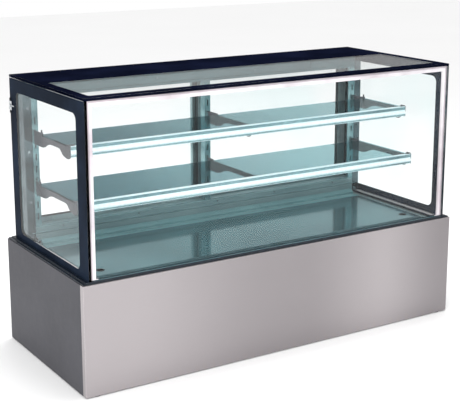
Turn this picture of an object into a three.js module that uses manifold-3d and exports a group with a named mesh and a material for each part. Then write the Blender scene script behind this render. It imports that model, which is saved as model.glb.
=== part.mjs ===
// Refrigerated bakery display case: a sheet metal base with the cooling machinery, and a square
// glass house with a deck, two lit glass shelves and two sliding doors at the back.
// Millimetres, +Z up, front towards -Y, origin on the floor under the middle of the case.
import * as THREE from 'three';
import { mergeVertices } from 'three/addons/utils/BufferGeometryUtils.js';
import Module from 'manifold-3d';

const wasm = await Module();
wasm.setup();

// Driving dimensions
const WIDTH = 1800;
const DEPTH = 740;
const HEIGHT = 1135;
const BASE_HEIGHT = 443;
const GAP = 0.3; // between pieces that touch
const SHEET = 2; // sheet metal
const GRID_STEPS = 1024; // grid steps in a millimetre

// Glass house, measured to its outer faces
const HOUSE_HALF = 868.5;
const HOUSE_FRONT = -358;
const HOUSE_REAR = 356;
const SIDE_GLASS = 11;
const TOP_GLASS = 10;
const FRONT_PANE = 5;
const FRONT_CAVITY = 10;
const SPACER_SIDE = 19; // sight width of the spacer bar beside the panes
const SPACER_TOP = 22;

// Plinth rim that seats the glass
const RIM_STEP = 448;
const RIM_TOP = 452;
const GLASS_SEAT = 446;
const RIM_OPENING_HALF = 822;
const RIM_OPENING_FRONT = -336;
const RIM_OPENING_REAR = 232;

// Base
const PANEL_FOOT = 4;
const CORNER_RETURN = 25;
const REAR_PANEL_Y = 358;
const TUBE = 30; // square tube of the base frame
const FRAME_BOTTOM = 34.3;
const FRAME_TOP = 435;
const PLATE_TOP = 56; // floor plate of the machine space
const FRAME_HALF = 865;
const FRAME_FRONT = -366;
const FRAME_REAR = 357;

const FOOT_X = FRAME_HALF - TUBE / 2;
const FEET = {
  foot_front_left: [-FOOT_X, FRAME_FRONT + TUBE / 2, 0],
  foot_front_right: [FOOT_X, FRAME_FRONT + TUBE / 2, 0],
  foot_rear_left: [-FOOT_X, FRAME_REAR - TUBE / 2, 0],
  foot_rear_right: [FOOT_X, FRAME_REAR - TUBE / 2, 0],
};

// Cold well and deck
const WELL_HALF = 818;
const WELL_FRONT = -334;
const WELL_REAR = 228;
const WELL_BOTTOM = 262;
const WELL_WALL = 15;
const WELL_TOP = FRAME_TOP + GAP + SHEET;
const DECK_BOTTOM = WELL_TOP + GAP;
const DECK_TOP = DECK_BOTTOM + 3;
const DECK_HALF = 805;
const DECK_FRONT = -275;
const DECK_REAR = 163;

// Rear frame and doors
const POST_FRONT = 235;
const POST_FACE = 36;
const POST_STEP = 292;
const JAMB = 838;
const SILL_TOP = 512;
const TRACK_FLOOR = 488;
const HEADER_BOTTOM = 1046;
const TRACK_TOP_BOTTOM = 1076;
const DOOR_WIDTH = 865;
const DOOR_THICK = 18;
const DOOR_BOTTOM = 489;
const DOOR_TOP = 1098;
const DOOR_STILE = 45;
const INNER_DOOR_Y = 296;
const OUTER_DOOR_Y = 322;

// Shelves
const SHELF_HALF = 818;
const SHELF_GLASS = 6;
const RAIL_HALF = 820;
const BRACKET_X = 812;
const BRACKET = 3;
const SHELVES = [
  { name: 'top', z: 916, front: -134, rear: 150 },
  { name: 'middle', z: 706, front: -183, rear: 187 },
];

const INNER_HALF = HOUSE_HALF - SIDE_GLASS - GAP;
const GLASS_TOP = HEIGHT - TOP_GLASS - GAP;

const METALS = {
  stainless: new THREE.MeshStandardMaterial({ color: 0xc8c3c5, roughness: 0.35, metalness: 0.9 }),
  polished: new THREE.MeshStandardMaterial({ color: 0xb4bfbf, roughness: 0.15, metalness: 1 }),
  aluminium: new THREE.MeshStandardMaterial({ color: 0xd8dcdc, roughness: 0.4, metalness: 0.8 }),
  galvanised: new THREE.MeshStandardMaterial({ color: 0x9aa3a6, roughness: 0.5, metalness: 0.7 }),
  copper: new THREE.MeshStandardMaterial({ color: 0xb87048, roughness: 0.35, metalness: 1 }),
};
const PAINTS = {
  greyPanel: new THREE.MeshStandardMaterial({ color: 0x6a656a, roughness: 0.5, metalness: 0.4 }),
  blackRim: new THREE.MeshStandardMaterial({ color: 0x141a22, roughness: 0.3, metalness: 0.1 }),
  blackSteel: new THREE.MeshStandardMaterial({ color: 0x16181a, roughness: 0.45, metalness: 0.3 }),
  bracket: new THREE.MeshStandardMaterial({ color: 0x6b6c72, roughness: 0.45, metalness: 0.6 }),
  blackPlastic: new THREE.MeshStandardMaterial({ color: 0x151617, roughness: 0.5, metalness: 0 }),
  wellLiner: new THREE.MeshStandardMaterial({ color: 0xc4cccd, roughness: 0.45, metalness: 0.2 }),
};
const GLASSES = {
  clear: new THREE.MeshStandardMaterial({
    color: 0x8fb8bd, roughness: 0.03, metalness: 0, transparent: true, opacity: 0.3,
  }),
  shelf: new THREE.MeshStandardMaterial({
    color: 0x5f8a90, roughness: 0.05, metalness: 0, transparent: true, opacity: 0.55,
  }),
};

// ---- Shapes -----------------------------------------------------------------------------------

// A closed three.js geometry as a solid that can be joined and cut. Its corners go onto a fine grid
// that single precision holds exactly, so that faces meant to be flush are.
function solid(geometry) {
  const bare = geometry.index ? geometry.toNonIndexed() : geometry.clone();
  bare.deleteAttribute('normal');
  bare.deleteAttribute('uv');
  const corners = bare.attributes.position;
  corners.array.forEach((value, i) => {
    corners.array[i] = Math.round(value * GRID_STEPS) / GRID_STEPS;
  });
  const merged = mergeVertices(bare, 1e-4);
  return new wasm.Manifold(new wasm.Mesh({
    numProp: 3,
    vertProperties: new Float32Array(merged.attributes.position.array),
    triVerts: new Uint32Array(merged.index.array),
  }));
}

// A solid back as a geometry that a mesh can show.
function geometryOf(body) {
  const mesh = body.getMesh();
  const points = new Float32Array((mesh.vertProperties.length / mesh.numProp) * 3);
  for (let i = 0; i < points.length / 3; i += 1) {
    for (let k = 0; k < 3; k += 1) {
      points[3 * i + k] = mesh.vertProperties[mesh.numProp * i + k];
    }
  }
  const geometry = new THREE.BufferGeometry();
  geometry.setAttribute('position', new THREE.BufferAttribute(points, 3));
  geometry.setIndex(Array.from(mesh.triVerts));
  geometry.computeVertexNormals();
  return geometry;
}

function join(...bodies) {
  return bodies.reduce((whole, body) => whole.add(body));
}

function cut(body, ...tools) {
  return tools.reduce((left, tool) => left.subtract(tool), body);
}

// A block between two values on each axis.
function block([x0, x1], [y0, y1], [z0, z1]) {
  const geometry = new THREE.BoxGeometry(x1 - x0, y1 - y0, z1 - z0);
  return solid(geometry.translate((x0 + x1) / 2, (y0 + y1) / 2, (z0 + z1) / 2));
}

function outline(points) {
  return new THREE.Shape(points.map(([u, v]) => new THREE.Vector2(u, v)));
}

function extrude(shape, length, segments = 8) {
  return new THREE.ExtrudeGeometry(shape, { depth: length, bevelEnabled: false, curveSegments: segments });
}

// A plan outline in x and y, raised from z0 to z1.
function raise(shape, z0, z1) {
  return solid(extrude(shape, z1 - z0).translate(0, 0, z0));
}

// A section in y and z, run from x0 to x1.
function runAlongX(shape, x0, x1, segments) {
  const turn = new THREE.Matrix4().makeBasis(
    new THREE.Vector3(0, 1, 0),
    new THREE.Vector3(0, 0, 1),
    new THREE.Vector3(1, 0, 0),
  );
  return solid(extrude(shape, x1 - x0, segments).applyMatrix4(turn).translate(x0, 0, 0));
}

// A round bar along z, or along y when it is laid.
function rod(radius, length, [x, y, z], laid = false, sides = 20) {
  const geometry = new THREE.CylinderGeometry(radius, radius, length, sides);
  if (!laid) geometry.rotateX(Math.PI / 2);
  return solid(geometry.translate(x, y, z));
}

function pipe(points, radius, steps) {
  const route = new THREE.CatmullRomCurve3(
    points.map((point) => new THREE.Vector3(...point)),
    false,
    'chordal',
  );
  const section = new THREE.Shape();
  section.absarc(0, 0, radius, 0, 2 * Math.PI);
  return solid(new THREE.ExtrudeGeometry(section, {
    extrudePath: route, steps, curveSegments: 4, bevelEnabled: false,
  }));
}

function piece(name, body, material, [x, y, z] = [0, 0, 0]) {
  const mesh = new THREE.Mesh(geometryOf(body), material);
  mesh.name = name;
  mesh.position.set(x, y, z);
  return mesh;
}

// The same section on the left (side -1) or on the right (side 1).
function span(side, near, far) {
  return side < 0 ? [-far, -near] : [near, far];
}

function assembly(...pieces) {
  return new THREE.Group().add(...pieces);
}

// ---- Base -------------------------------------------------------------------------------------

// Stainless front with returns round both corners and a flange under the glass.
function frontPanel() {
  const front = -DEPTH / 2;
  const half = WIDTH / 2;
  const plan = outline([
    [-half, front + CORNER_RETURN],
    [-half, front],
    [half, front],
    [half, front + CORNER_RETURN],
    [half - SHEET, front + CORNER_RETURN],
    [half - SHEET, front + SHEET],
    [SHEET - half, front + SHEET],
    [SHEET - half, front + CORNER_RETURN],
  ]);
  const flange = block([-half, half], [front, front + 18], [BASE_HEIGHT - SHEET, BASE_HEIGHT]);
  return join(raise(plan, PANEL_FOOT, BASE_HEIGHT), flange);
}

function sidePanel(side) {
  const half = WIDTH / 2;
  const front = -DEPTH / 2 + CORNER_RETURN + GAP;
  const rear = DEPTH / 2;
  const flangeInner = 870;
  return join(
    block(span(side, half - SHEET, half), [front, rear], [PANEL_FOOT, BASE_HEIGHT]),
    block(span(side, flangeInner, half), [rear - SHEET, rear], [PANEL_FOOT, BASE_HEIGHT]),
    block(span(side, flangeInner, half), [front, rear], [BASE_HEIGHT - SHEET, BASE_HEIGHT]),
  );
}

const LOUVRES = { x: [250, 600], z: 90, pitch: 18, count: 8, height: 8 };
const CONTROLS = { x: [-712, -488], z: [315, 380] };
const GLAND = { x: -780, z: 110, radius: 11 };

function rearPanel() {
  const y = [REAR_PANEL_Y - 5, REAR_PANEL_Y + 5];
  const plate = block([-897, 897], [REAR_PANEL_Y, REAR_PANEL_Y + SHEET], [PANEL_FOOT + 6, 440]);
  const slots = Array.from({ length: LOUVRES.count }, (_, i) => {
    const z = LOUVRES.z + i * LOUVRES.pitch;
    return block(LOUVRES.x, y, [z, z + LOUVRES.height]);
  });
  return cut(
    plate,
    ...slots,
    block(CONTROLS.x, y, CONTROLS.z),
    rod(GLAND.radius, 10, [GLAND.x, REAR_PANEL_Y, GLAND.z], true),
  );
}

// The frame's bars as one solid, each face set in by the same amount.
function frameBars(inset) {
  const sides = [[-FRAME_HALF, FRAME_HALF], [FRAME_FRONT, FRAME_REAR], [FRAME_BOTTOM, FRAME_TOP]];
  const outside = sides.map(([low, high]) => [low + inset, high - inset]);
  const inside = sides.map(([low, high]) => [low + TUBE - inset, high - TUBE + inset]);
  const openings = sides.map((side, axis) => block(...inside.map((range, k) => (k === axis ? side : range))));
  return cut(block(...outside), ...openings);
}

// Welded square tube frame with its floor plate; the uprights are open below, where the feet screw in.
function baseFrame() {
  const footHoles = Object.values(FEET).map(([x, y]) => rod(7, 2 * TUBE / 3, [x, y, FRAME_BOTTOM]));
  const reach = TUBE - 1; // into the tubes' inner walls
  const plate = block(
    [reach - FRAME_HALF, FRAME_HALF - reach],
    [FRAME_FRONT + reach, FRAME_REAR - reach],
    [PLATE_TOP - SHEET, PLATE_TOP],
  );
  return cut(join(frameBars(0), plate), frameBars(SHEET), ...footHoles);
}

function foot() {
  const profile = [[0, 0], [15, 0], [15, 8], [11, 13], [6, 14], [6, 34], [0, 34]];
  const geometry = new THREE.LatheGeometry(profile.map(([r, z]) => new THREE.Vector2(r, z)), 20);
  return solid(geometry.rotateX(Math.PI / 2));
}

// Two-step rim round the well, with seats for the side glasses and the front glass unit.
function plinthRim() {
  const opening = block(
    [-RIM_OPENING_HALF, RIM_OPENING_HALF],
    [RIM_OPENING_FRONT, RIM_OPENING_REAR],
    [BASE_HEIGHT, HEIGHT],
  );
  const sideSeats = [-1, 1].map((side) => block(
    span(side, HOUSE_HALF - SIDE_GLASS - GAP, HOUSE_HALF + GAP),
    [HOUSE_FRONT - GAP, HOUSE_REAR + GAP],
    [GLASS_SEAT, HEIGHT],
  ));
  const unitDepth = 2 * FRONT_PANE + FRONT_CAVITY;
  const frontSeat = block(
    [-HOUSE_HALF, HOUSE_HALF],
    [HOUSE_FRONT - GAP, HOUSE_FRONT + unitDepth + GAP],
    [GLASS_SEAT, HEIGHT],
  );
  return cut(
    join(
      block([-896, 896], [-363, 366], [BASE_HEIGHT + GAP, RIM_STEP]),
      block([-884, 884], [-360, 362], [BASE_HEIGHT + GAP, RIM_TOP]),
    ),
    opening,
    ...sideSeats,
    frontSeat,
  );
}

// ---- Cold well and deck -----------------------------------------------------------------------

// Insulated tub hung on the frame by its flange, with ledges that carry the deck.
function coldWell() {
  const inner = WELL_HALF - WELL_WALL;
  const cavity = block(
    [-inner, inner],
    [WELL_FRONT + WELL_WALL, WELL_REAR - WELL_WALL],
    [WELL_BOTTOM + WELL_WALL, HEIGHT],
  );
  const body = join(
    block([-WELL_HALF, WELL_HALF], [WELL_FRONT, WELL_REAR], [WELL_BOTTOM, WELL_TOP]),
    block([-860, 860], [WELL_FRONT, 328], [WELL_TOP - SHEET, WELL_TOP]),
  );
  const ledges = [DECK_FRONT, DECK_REAR].map((y) => block(
    [-inner - 1, inner + 1],
    [y - 14, y + 14],
    [WELL_TOP - 20, WELL_TOP],
  ));
  const suctionHole = rod(16, 60, [-720, 60, WELL_BOTTOM]);
  const liquidHole = rod(12, 60, [-760, 100, WELL_BOTTOM]);
  return cut(join(cut(body, cavity), ...ledges), suctionHole, liquidHole);
}

const FINGER_HOLE = { x: 755, y: -215, radius: 13 };

function deckPanel(side) {
  const plate = block(span(side, 0.75, DECK_HALF), [DECK_FRONT, DECK_REAR], [DECK_BOTTOM, DECK_TOP]);
  return cut(plate, rod(FINGER_HOLE.radius, 20, [side * FINGER_HOLE.x, FINGER_HOLE.y, DECK_TOP]));
}

function frontAirGrille() {
  const rear = DECK_FRONT - 1;
  const front = WELL_FRONT + 1;
  const columns = 10;
  const pitch = (2 * DECK_HALF) / columns;
  const slots = [];
  for (let column = 0; column < columns; column += 1) {
    const x = -DECK_HALF + column * pitch;
    for (const y of [front + 12, rear - 22]) {
      slots.push(block([x + 12, x + pitch - 12], [y, y + 10], [DECK_BOTTOM - 5, DECK_TOP + 5]));
    }
  }
  const plate = block([-DECK_HALF, DECK_HALF], [front, rear], [DECK_BOTTOM, DECK_TOP]);
  return cut(plate, ...slots);
}

// Stepped cover over the air duct behind the deck, with a seam between its three lengths.
function rearDuctCover() {
  const front = DECK_REAR + 1;
  const section = outline([
    [front, DECK_BOTTOM],
    [WELL_REAR, DECK_BOTTOM],
    [WELL_REAR, 461],
    [front + 42, 450],
    [front + 42, DECK_TOP],
    [front, DECK_TOP],
  ]);
  const third = (2 * DECK_HALF) / 3;
  const seams = [-1, 1].map((side) => block(
    span(side, third / 2 - 1, third / 2 + 1),
    [front - 1, WELL_REAR + 1],
    [DECK_BOTTOM + 1.5, HEIGHT],
  ));
  return cut(runAlongX(section, -DECK_HALF, DECK_HALF), ...seams);
}

// ---- Glass house ------------------------------------------------------------------------------

function sideGlass(side) {
  return block(
    span(side, HOUSE_HALF - SIDE_GLASS, HOUSE_HALF),
    [HOUSE_FRONT, HOUSE_REAR],
    [GLASS_SEAT + GAP, GLASS_TOP],
  );
}

function frontPane(y) {
  return block([-INNER_HALF, INNER_HALF], [y, y + FRONT_PANE], [GLASS_SEAT + GAP, GLASS_TOP]);
}

// One bent bar that keeps the two front panes apart, left, right, above and below.
function frontSpacer() {
  const y = [HOUSE_FRONT + FRONT_PANE + GAP, HOUSE_FRONT + FRONT_PANE + FRONT_CAVITY - GAP];
  const low = GLASS_SEAT + 2 * GAP;
  return cut(
    block([-INNER_HALF, INNER_HALF], y, [low, GLASS_TOP]),
    block(
      [SPACER_SIDE - INNER_HALF, INNER_HALF - SPACER_SIDE],
      [y[0] - 1, y[1] + 1],
      [low + 5, GLASS_TOP - SPACER_TOP],
    ),
  );
}

function topGlass() {
  return block([-HOUSE_HALF, HOUSE_HALF], [HOUSE_FRONT, HOUSE_REAR], [HEIGHT - TOP_GLASS, HEIGHT]);
}

// ---- Rear frame -------------------------------------------------------------------------------

// Corner post with a jamb step for the doors and two shallow flutes on its outer side.
function rearPost(side) {
  const outer = INNER_HALF - GAP;
  const inner = outer - POST_FACE;
  const z = [RIM_TOP + GAP, GLASS_TOP];
  const flutes = [258, 278].map((y) => block(
    span(side, outer - 2, outer + 1),
    [y, y + 4],
    [z[0] + 40, z[1] - 40],
  ));
  const wall = 4;
  const hollow = block(
    span(side, JAMB + wall, outer - wall),
    [POST_FRONT + wall, HOUSE_REAR + 1],
    [z[0] - 1, z[1] + 1],
  );
  return cut(
    join(
      block(span(side, inner, outer), [POST_FRONT, POST_STEP], z),
      block(span(side, JAMB, outer), [POST_STEP - 1, HOUSE_REAR], z),
    ),
    hollow,
    ...flutes,
  );
}

// Open channel with a row of slots in its front web, for hanging the shelf brackets.
function slottedChannel(x, depth, z) {
  const y = POST_FRONT + 1;
  const wall = 1.5;
  const channel = cut(
    block(x, [y, y + depth], z),
    block([x[0] + wall, x[1] - wall], [y + wall, y + depth + 1], [z[0] - 1, z[1] + 1]),
  );
  const middle = (x[0] + x[1]) / 2;
  const pitch = 50;
  const count = Math.floor((z[1] - z[0] - 40) / pitch);
  const slots = Array.from({ length: count }, (_, i) => block(
    [middle - 3, middle + 3],
    [y - 1, y + wall + 1],
    [z[0] + 30 + i * pitch, z[0] + 58 + i * pitch],
  ));
  return cut(channel, ...slots);
}

// Channel under the top glass, open behind, with a set-back upper face.
function headerBeam() {
  const half = INNER_HALF - GAP - POST_FACE - GAP;
  const wall = 4;
  const step = 1095;
  const section = outline([
    [POST_FRONT + 1, HEADER_BOTTOM],
    [POST_STEP, HEADER_BOTTOM],
    [POST_STEP, HEADER_BOTTOM + wall],
    [POST_FRONT + 8 + wall, HEADER_BOTTOM + wall],
    [POST_FRONT + 8 + wall, GLASS_TOP - wall],
    [POST_STEP, GLASS_TOP - wall],
    [POST_STEP, GLASS_TOP],
    [POST_FRONT + 8, GLASS_TOP],
    [POST_FRONT + 8, step],
    [POST_FRONT + 1, step],
  ]);
  return runAlongX(section, -half, half);
}

// The clearance that a door's edge runs in, along the whole opening.
function doorGroove(y, z) {
  return block([-WIDTH, WIDTH], [y - 3, y + DOOR_THICK + 3], z);
}

function doorTrackTop() {
  const half = JAMB - GAP;
  const bar = block([-half, half], [POST_STEP + 1, HOUSE_REAR], [TRACK_TOP_BOTTOM, GLASS_TOP]);
  const groove = [TRACK_TOP_BOTTOM - 1, DOOR_TOP + 8];
  return cut(bar, doorGroove(INNER_DOOR_Y, groove), doorGroove(OUTER_DOOR_Y, groove));
}

function doorSill() {
  const frontHalf = INNER_HALF - GAP - POST_FACE - GAP;
  const rearHalf = JAMB - GAP;
  const bottom = RIM_TOP + GAP;
  const front = POST_FRONT + 1;
  const groove = [TRACK_FLOOR, SILL_TOP + 1];
  const rear = 352;
  const wall = 4;
  return cut(
    join(
      block([-frontHalf, frontHalf], [front, POST_STEP + 1], [bottom, SILL_TOP]),
      block([-rearHalf, rearHalf], [POST_STEP + GAP, rear], [bottom, SILL_TOP]),
    ),
    block([-WIDTH, WIDTH], [front - 1, front + 2], [478, 484]),
    block([-WIDTH, WIDTH], [front + wall + 2, rear - wall], [bottom - 1, TRACK_FLOOR - wall]),
    doorGroove(INNER_DOOR_Y, groove),
    doorGroove(OUTER_DOOR_Y, groove),
  );
}

// ---- Doors ------------------------------------------------------------------------------------

const DOOR_GLASS = 12;
const GLASS_BITE = 10;
const DOOR_PULL = { inset: 6, width: 22, height: 130, depth: 10 };

function doorGlassSize(extra) {
  const edge = DOOR_STILE - GLASS_BITE;
  const middle = DOOR_THICK / 2;
  return block(
    [edge - extra, DOOR_WIDTH - edge + extra],
    [middle - DOOR_GLASS / 2 - extra, middle + DOOR_GLASS / 2 + extra],
    [DOOR_BOTTOM + edge - extra, DOOR_TOP - edge + extra],
  );
}

// Ring of four profiles, grooved for the glass, with a recessed pull in its outer stile.
function doorFrame(pullAtRight) {
  const reach = [-1, DOOR_THICK + 1];
  const pullX = pullAtRight ? DOOR_WIDTH - DOOR_PULL.inset - DOOR_PULL.width : DOOR_PULL.inset;
  const pullZ = (DOOR_BOTTOM + DOOR_TOP - DOOR_PULL.height) / 2;
  return cut(
    block([0, DOOR_WIDTH], [0, DOOR_THICK], [DOOR_BOTTOM, DOOR_TOP]),
    block([DOOR_STILE, DOOR_WIDTH - DOOR_STILE], reach, [DOOR_BOTTOM + DOOR_STILE, DOOR_TOP - DOOR_STILE]),
    doorGlassSize(GAP),
    block(
      [pullX, pullX + DOOR_PULL.width],
      [DOOR_THICK - DOOR_PULL.depth, DOOR_THICK + 1],
      [pullZ, pullZ + DOOR_PULL.height],
    ),
  );
}

// ---- Shelves ----------------------------------------------------------------------------------

// Section of the light rail: a groove that grips the glass, over a hood for the lamps.
function lightRail({ front, z }) {
  const section = outline([
    [0, 2.3],
    [0, -42],
    [12, -42],
    [12, -38],
    [6, -38],
    [6, -9],
    [14, -9],
    [14, -SHELF_GLASS - GAP],
    [2.5, -SHELF_GLASS - GAP],
    [2.5, GAP],
    [14, GAP],
    [14, 2.3],
  ].map(([u, v]) => [front + u, z + v]));
  return runAlongX(section, -RAIL_HALF, RAIL_HALF);
}

function shelfGlass({ front, rear, z }) {
  return block([-SHELF_HALF, SHELF_HALF], [front + 2.5 + GAP, rear], [z - SHELF_GLASS, z]);
}

// Sheet bracket: a level arm under the glass, a waved lower edge and a rounded end behind the rail.
function bracket({ front, rear, z }) {
  const tip = front + 15;
  const under = -SHELF_GLASS - GAP;
  const shape = new THREE.Shape();
  shape.moveTo(tip, under);
  shape.lineTo(tip, -32);
  shape.quadraticCurveTo(tip + 2, -56, tip + 30, -56);
  shape.quadraticCurveTo(tip + 72, -54, tip + 88, -38);
  shape.quadraticCurveTo(tip + 96, -27, tip + 112, -27);
  shape.lineTo(64, -28);
  shape.quadraticCurveTo(98, -32, 120, -46);
  shape.quadraticCurveTo(138, -54, 160, -54);
  shape.lineTo(POST_FRONT - 1, -54);
  shape.lineTo(POST_FRONT - 1, 4);
  shape.lineTo(rear + 2, 4);
  shape.lineTo(rear + 2, under);
  shape.closePath();
  return runAlongX(shape, 0, BRACKET, 5).translate([0, 0, z]);
}

// ---- Cooling ----------------------------------------------------------------------------------

// Heat exchanger: a spine with upright fins.
function finnedBlock(width, depth, height, fins) {
  const pitch = width / fins;
  const spine = 8;
  const plan = [[0, 0], [width, 0], [width, depth]];
  for (let i = fins - 1; i > 0; i -= 1) {
    const x = i * pitch;
    plan.push([x + 3, depth], [x + 3, spine], [x + 6 - pitch, spine], [x + 6 - pitch, depth]);
  }
  plan.push([0, depth]);
  return raise(outline(plan), 0, height);
}

// Plate with round fan openings; behind each, a bar on two legs carries the motor.
function fanMount(width, height, centres, radius) {
  const plate = outline([[0, 0], [width, 0], [width, height], [0, height]]);
  const carriers = [];
  for (const [x, y] of centres) {
    const hole = new THREE.Path();
    hole.absarc(x, y, radius, 0, 2 * Math.PI, true);
    plate.holes.push(hole);
    const leg = radius + 3;
    carriers.push(
      block([x - leg - 8, x - leg], [y - 5, y + 5], [SHEET - 1, 24]),
      block([x + leg, x + leg + 8], [y - 5, y + 5], [SHEET - 1, 24]),
      block([x - leg - 8, x + leg + 8], [y - 5, y + 5], [20, 24]),
      rod(20, 30, [x, y, 38]),
    );
  }
  return join(raise(plate, 0, SHEET), ...carriers);
}

// Axial fan: a hub with five pitched blades, its shaft along z.
function fan(radius) {
  const hub = rod(14, 20, [0, 0, 0], false, 16);
  const blades = Array.from({ length: 5 }, (_, i) => {
    const blade = new THREE.BoxGeometry(radius - 12, 22, 2);
    blade.rotateX(THREE.MathUtils.degToRad(28));
    blade.translate((radius + 12) / 2, 0, 0);
    return solid(blade.rotateZ((i * 2 * Math.PI) / 5));
  });
  return join(hub, ...blades);
}

const SHELL_RADIUS = 76;

function compressor() {
  const profile = [
    [0, 0], [64, 0], [64, 12], [74, 16], [SHELL_RADIUS, 55], [SHELL_RADIUS, 112], [68, 142], [42, 160], [0, 165],
  ];
  const geometry = new THREE.LatheGeometry(profile.map(([r, z]) => new THREE.Vector2(r, z)), 24);
  return solid(geometry.rotateX(Math.PI / 2));
}

function drainPan() {
  return cut(
    block([0, 260], [0, 300], [0, 28]),
    block([3, 257], [3, 297], [3, 40]),
  );
}

// Turns a piece built along z so that its motor side faces the front of the case.
function facingFront(mesh) {
  mesh.rotation.x = Math.PI / 2;
  return mesh;
}

// ---- Controls ---------------------------------------------------------------------------------

const ROCKERS = { power: -560, light: -520 };
const ROCKER = { y: 363, z: 347, half: 6.5, radius: 10.5 };
const THERMOSTAT = { x: -660, z: 347, width: 71, height: 29 };
const PLATE_Y = REAR_PANEL_Y + SHEET + GAP;

// Face plate over the opening in the rear panel, with a box behind it that holds the wiring.
function controlBox() {
  const [x0, x1] = CONTROLS.x;
  const [z0, z1] = CONTROLS.z;
  const plate = block([x0 - 8, x1 + 8], [PLATE_Y, PLATE_Y + SHEET], [z0 - 8, z1 + 8]);
  const box = cut(
    block([x0 + GAP, x1 - GAP], [290, PLATE_Y + 1], [z0 + GAP, z1 - GAP]),
    block([x0 + 3, x1 - 3], [293, PLATE_Y], [z0 + 3, z1 - 3]),
  );
  const rockerHoles = Object.values(ROCKERS).map((x) => block(
    [x - ROCKER.half - 0.7, x + ROCKER.half + 0.7],
    [PLATE_Y - 5, PLATE_Y + 10],
    [ROCKER.z - ROCKER.radius - 0.5, ROCKER.z + ROCKER.radius + 0.5],
  ));
  const meterHole = block(
    [THERMOSTAT.x - THERMOSTAT.width / 2, THERMOSTAT.x + THERMOSTAT.width / 2],
    [PLATE_Y - 5, PLATE_Y + 10],
    [THERMOSTAT.z - THERMOSTAT.height / 2, THERMOSTAT.z + THERMOSTAT.height / 2],
  );
  return cut(join(plate, box), ...rockerHoles, meterHole);
}

function thermostat() {
  const { width, height } = THERMOSTAT;
  const bezelY = PLATE_Y + SHEET + GAP;
  return join(
    block([-width / 2 - 3, width / 2 + 3], [bezelY, bezelY + 5], [-height / 2 - 3, height / 2 + 3]),
    block([GAP - width / 2, width / 2 - GAP], [305, bezelY + 1], [GAP - height / 2, height / 2 - GAP]),
  );
}

// Rocker with a shallow V face, drawn about its pivot and resting with the upper half pressed in.
function rocker() {
  const restTilt = 10; // degrees
  const section = outline([
    [4, 9.5],
    [2, 0],
    [4, -9.5],
    [-2, -9],
    [-6, 0],
    [-2, 9],
  ]);
  return runAlongX(section, -ROCKER.half, ROCKER.half).rotate([restTilt, 0, 0]);
}

function gland() {
  return join(
    rod(GLAND.radius - 1, 26, [0, 0, 0], true, 16),
    rod(15, 5, [0, REAR_PANEL_Y + SHEET + GAP + 2.5 - 355, 0], true, 6),
  );
}

// ---- Assembly ---------------------------------------------------------------------------------

const base = assembly(
  piece('front_panel', frontPanel(), METALS.stainless),
  piece('side_panel_left', sidePanel(-1), PAINTS.greyPanel),
  piece('side_panel_right', sidePanel(1), PAINTS.greyPanel),
  piece('rear_panel', rearPanel(), METALS.stainless),
  piece('base_frame', baseFrame(), METALS.galvanised),
  ...Object.entries(FEET).map(([name, at]) => piece(name, foot(), PAINTS.blackSteel, at)),
  piece('plinth_rim', plinthRim(), PAINTS.blackRim),
);

const deck = assembly(
  piece('cold_well', coldWell(), PAINTS.wellLiner),
  piece('deck_panel_left', deckPanel(-1), METALS.polished),
  piece('deck_panel_right', deckPanel(1), METALS.polished),
  piece('front_air_grille', frontAirGrille(), METALS.aluminium),
  piece('rear_duct_cover', rearDuctCover(), METALS.polished),
);

const glassHouse = assembly(
  piece('side_glass_left', sideGlass(-1), GLASSES.clear),
  piece('side_glass_right', sideGlass(1), GLASSES.clear),
  piece('front_glass_outer', frontPane(HOUSE_FRONT), GLASSES.clear),
  piece('front_glass_inner', frontPane(HOUSE_FRONT + FRONT_PANE + FRONT_CAVITY), GLASSES.clear),
  piece('front_glass_spacer', frontSpacer(), METALS.aluminium),
  piece('top_glass', topGlass(), GLASSES.clear),
);

const STANDARD_OUTER = INNER_HALF - GAP - POST_FACE - GAP;
const STANDARD_SPAN = [SILL_TOP + GAP, HEADER_BOTTOM - GAP];
const rearFrame = assembly(
  piece('rear_post_left', rearPost(-1), METALS.polished),
  piece('rear_post_right', rearPost(1), METALS.polished),
  piece('shelf_standard_left', slottedChannel([-STANDARD_OUTER, 26 - STANDARD_OUTER], 14, STANDARD_SPAN),
    METALS.polished),
  piece('shelf_standard_right', slottedChannel([STANDARD_OUTER - 26, STANDARD_OUTER], 14, STANDARD_SPAN),
    METALS.polished),
  piece('centre_post', slottedChannel([-14, 14], 36, STANDARD_SPAN), METALS.polished),
  piece('header_beam', headerBeam(), METALS.aluminium),
  piece('door_track_top', doorTrackTop(), METALS.aluminium),
  piece('door_sill', doorSill(), METALS.aluminium),
);

const DOOR_OVERLAP = 30;
const LEFT_DOOR = [DOOR_OVERLAP - DOOR_WIDTH, INNER_DOOR_Y, 0];
const RIGHT_DOOR = [-DOOR_OVERLAP, OUTER_DOOR_Y, 0];
const doors = assembly(
  piece('door_frame_left', doorFrame(false), METALS.aluminium, LEFT_DOOR),
  piece('door_glass_left', doorGlassSize(0), GLASSES.clear, LEFT_DOOR),
  piece('door_frame_right', doorFrame(true), METALS.aluminium, RIGHT_DOOR),
  piece('door_glass_right', doorGlassSize(0), GLASSES.clear, RIGHT_DOOR),
);

const BRACKETS = { left: -BRACKET_X - BRACKET, centre: -BRACKET / 2, right: BRACKET_X };
const shelves = assembly(...SHELVES.flatMap((shelf) => [
  piece(`${shelf.name}_shelf_glass`, shelfGlass(shelf), GLASSES.shelf),
  piece(`${shelf.name}_light_rail`, lightRail(shelf), METALS.aluminium),
  ...Object.entries(BRACKETS).map(([place, x]) => piece(
    `${shelf.name}_bracket_${place}`,
    bracket(shelf),
    PAINTS.bracket,
    [x, 0, 0],
  )),
]));

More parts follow.
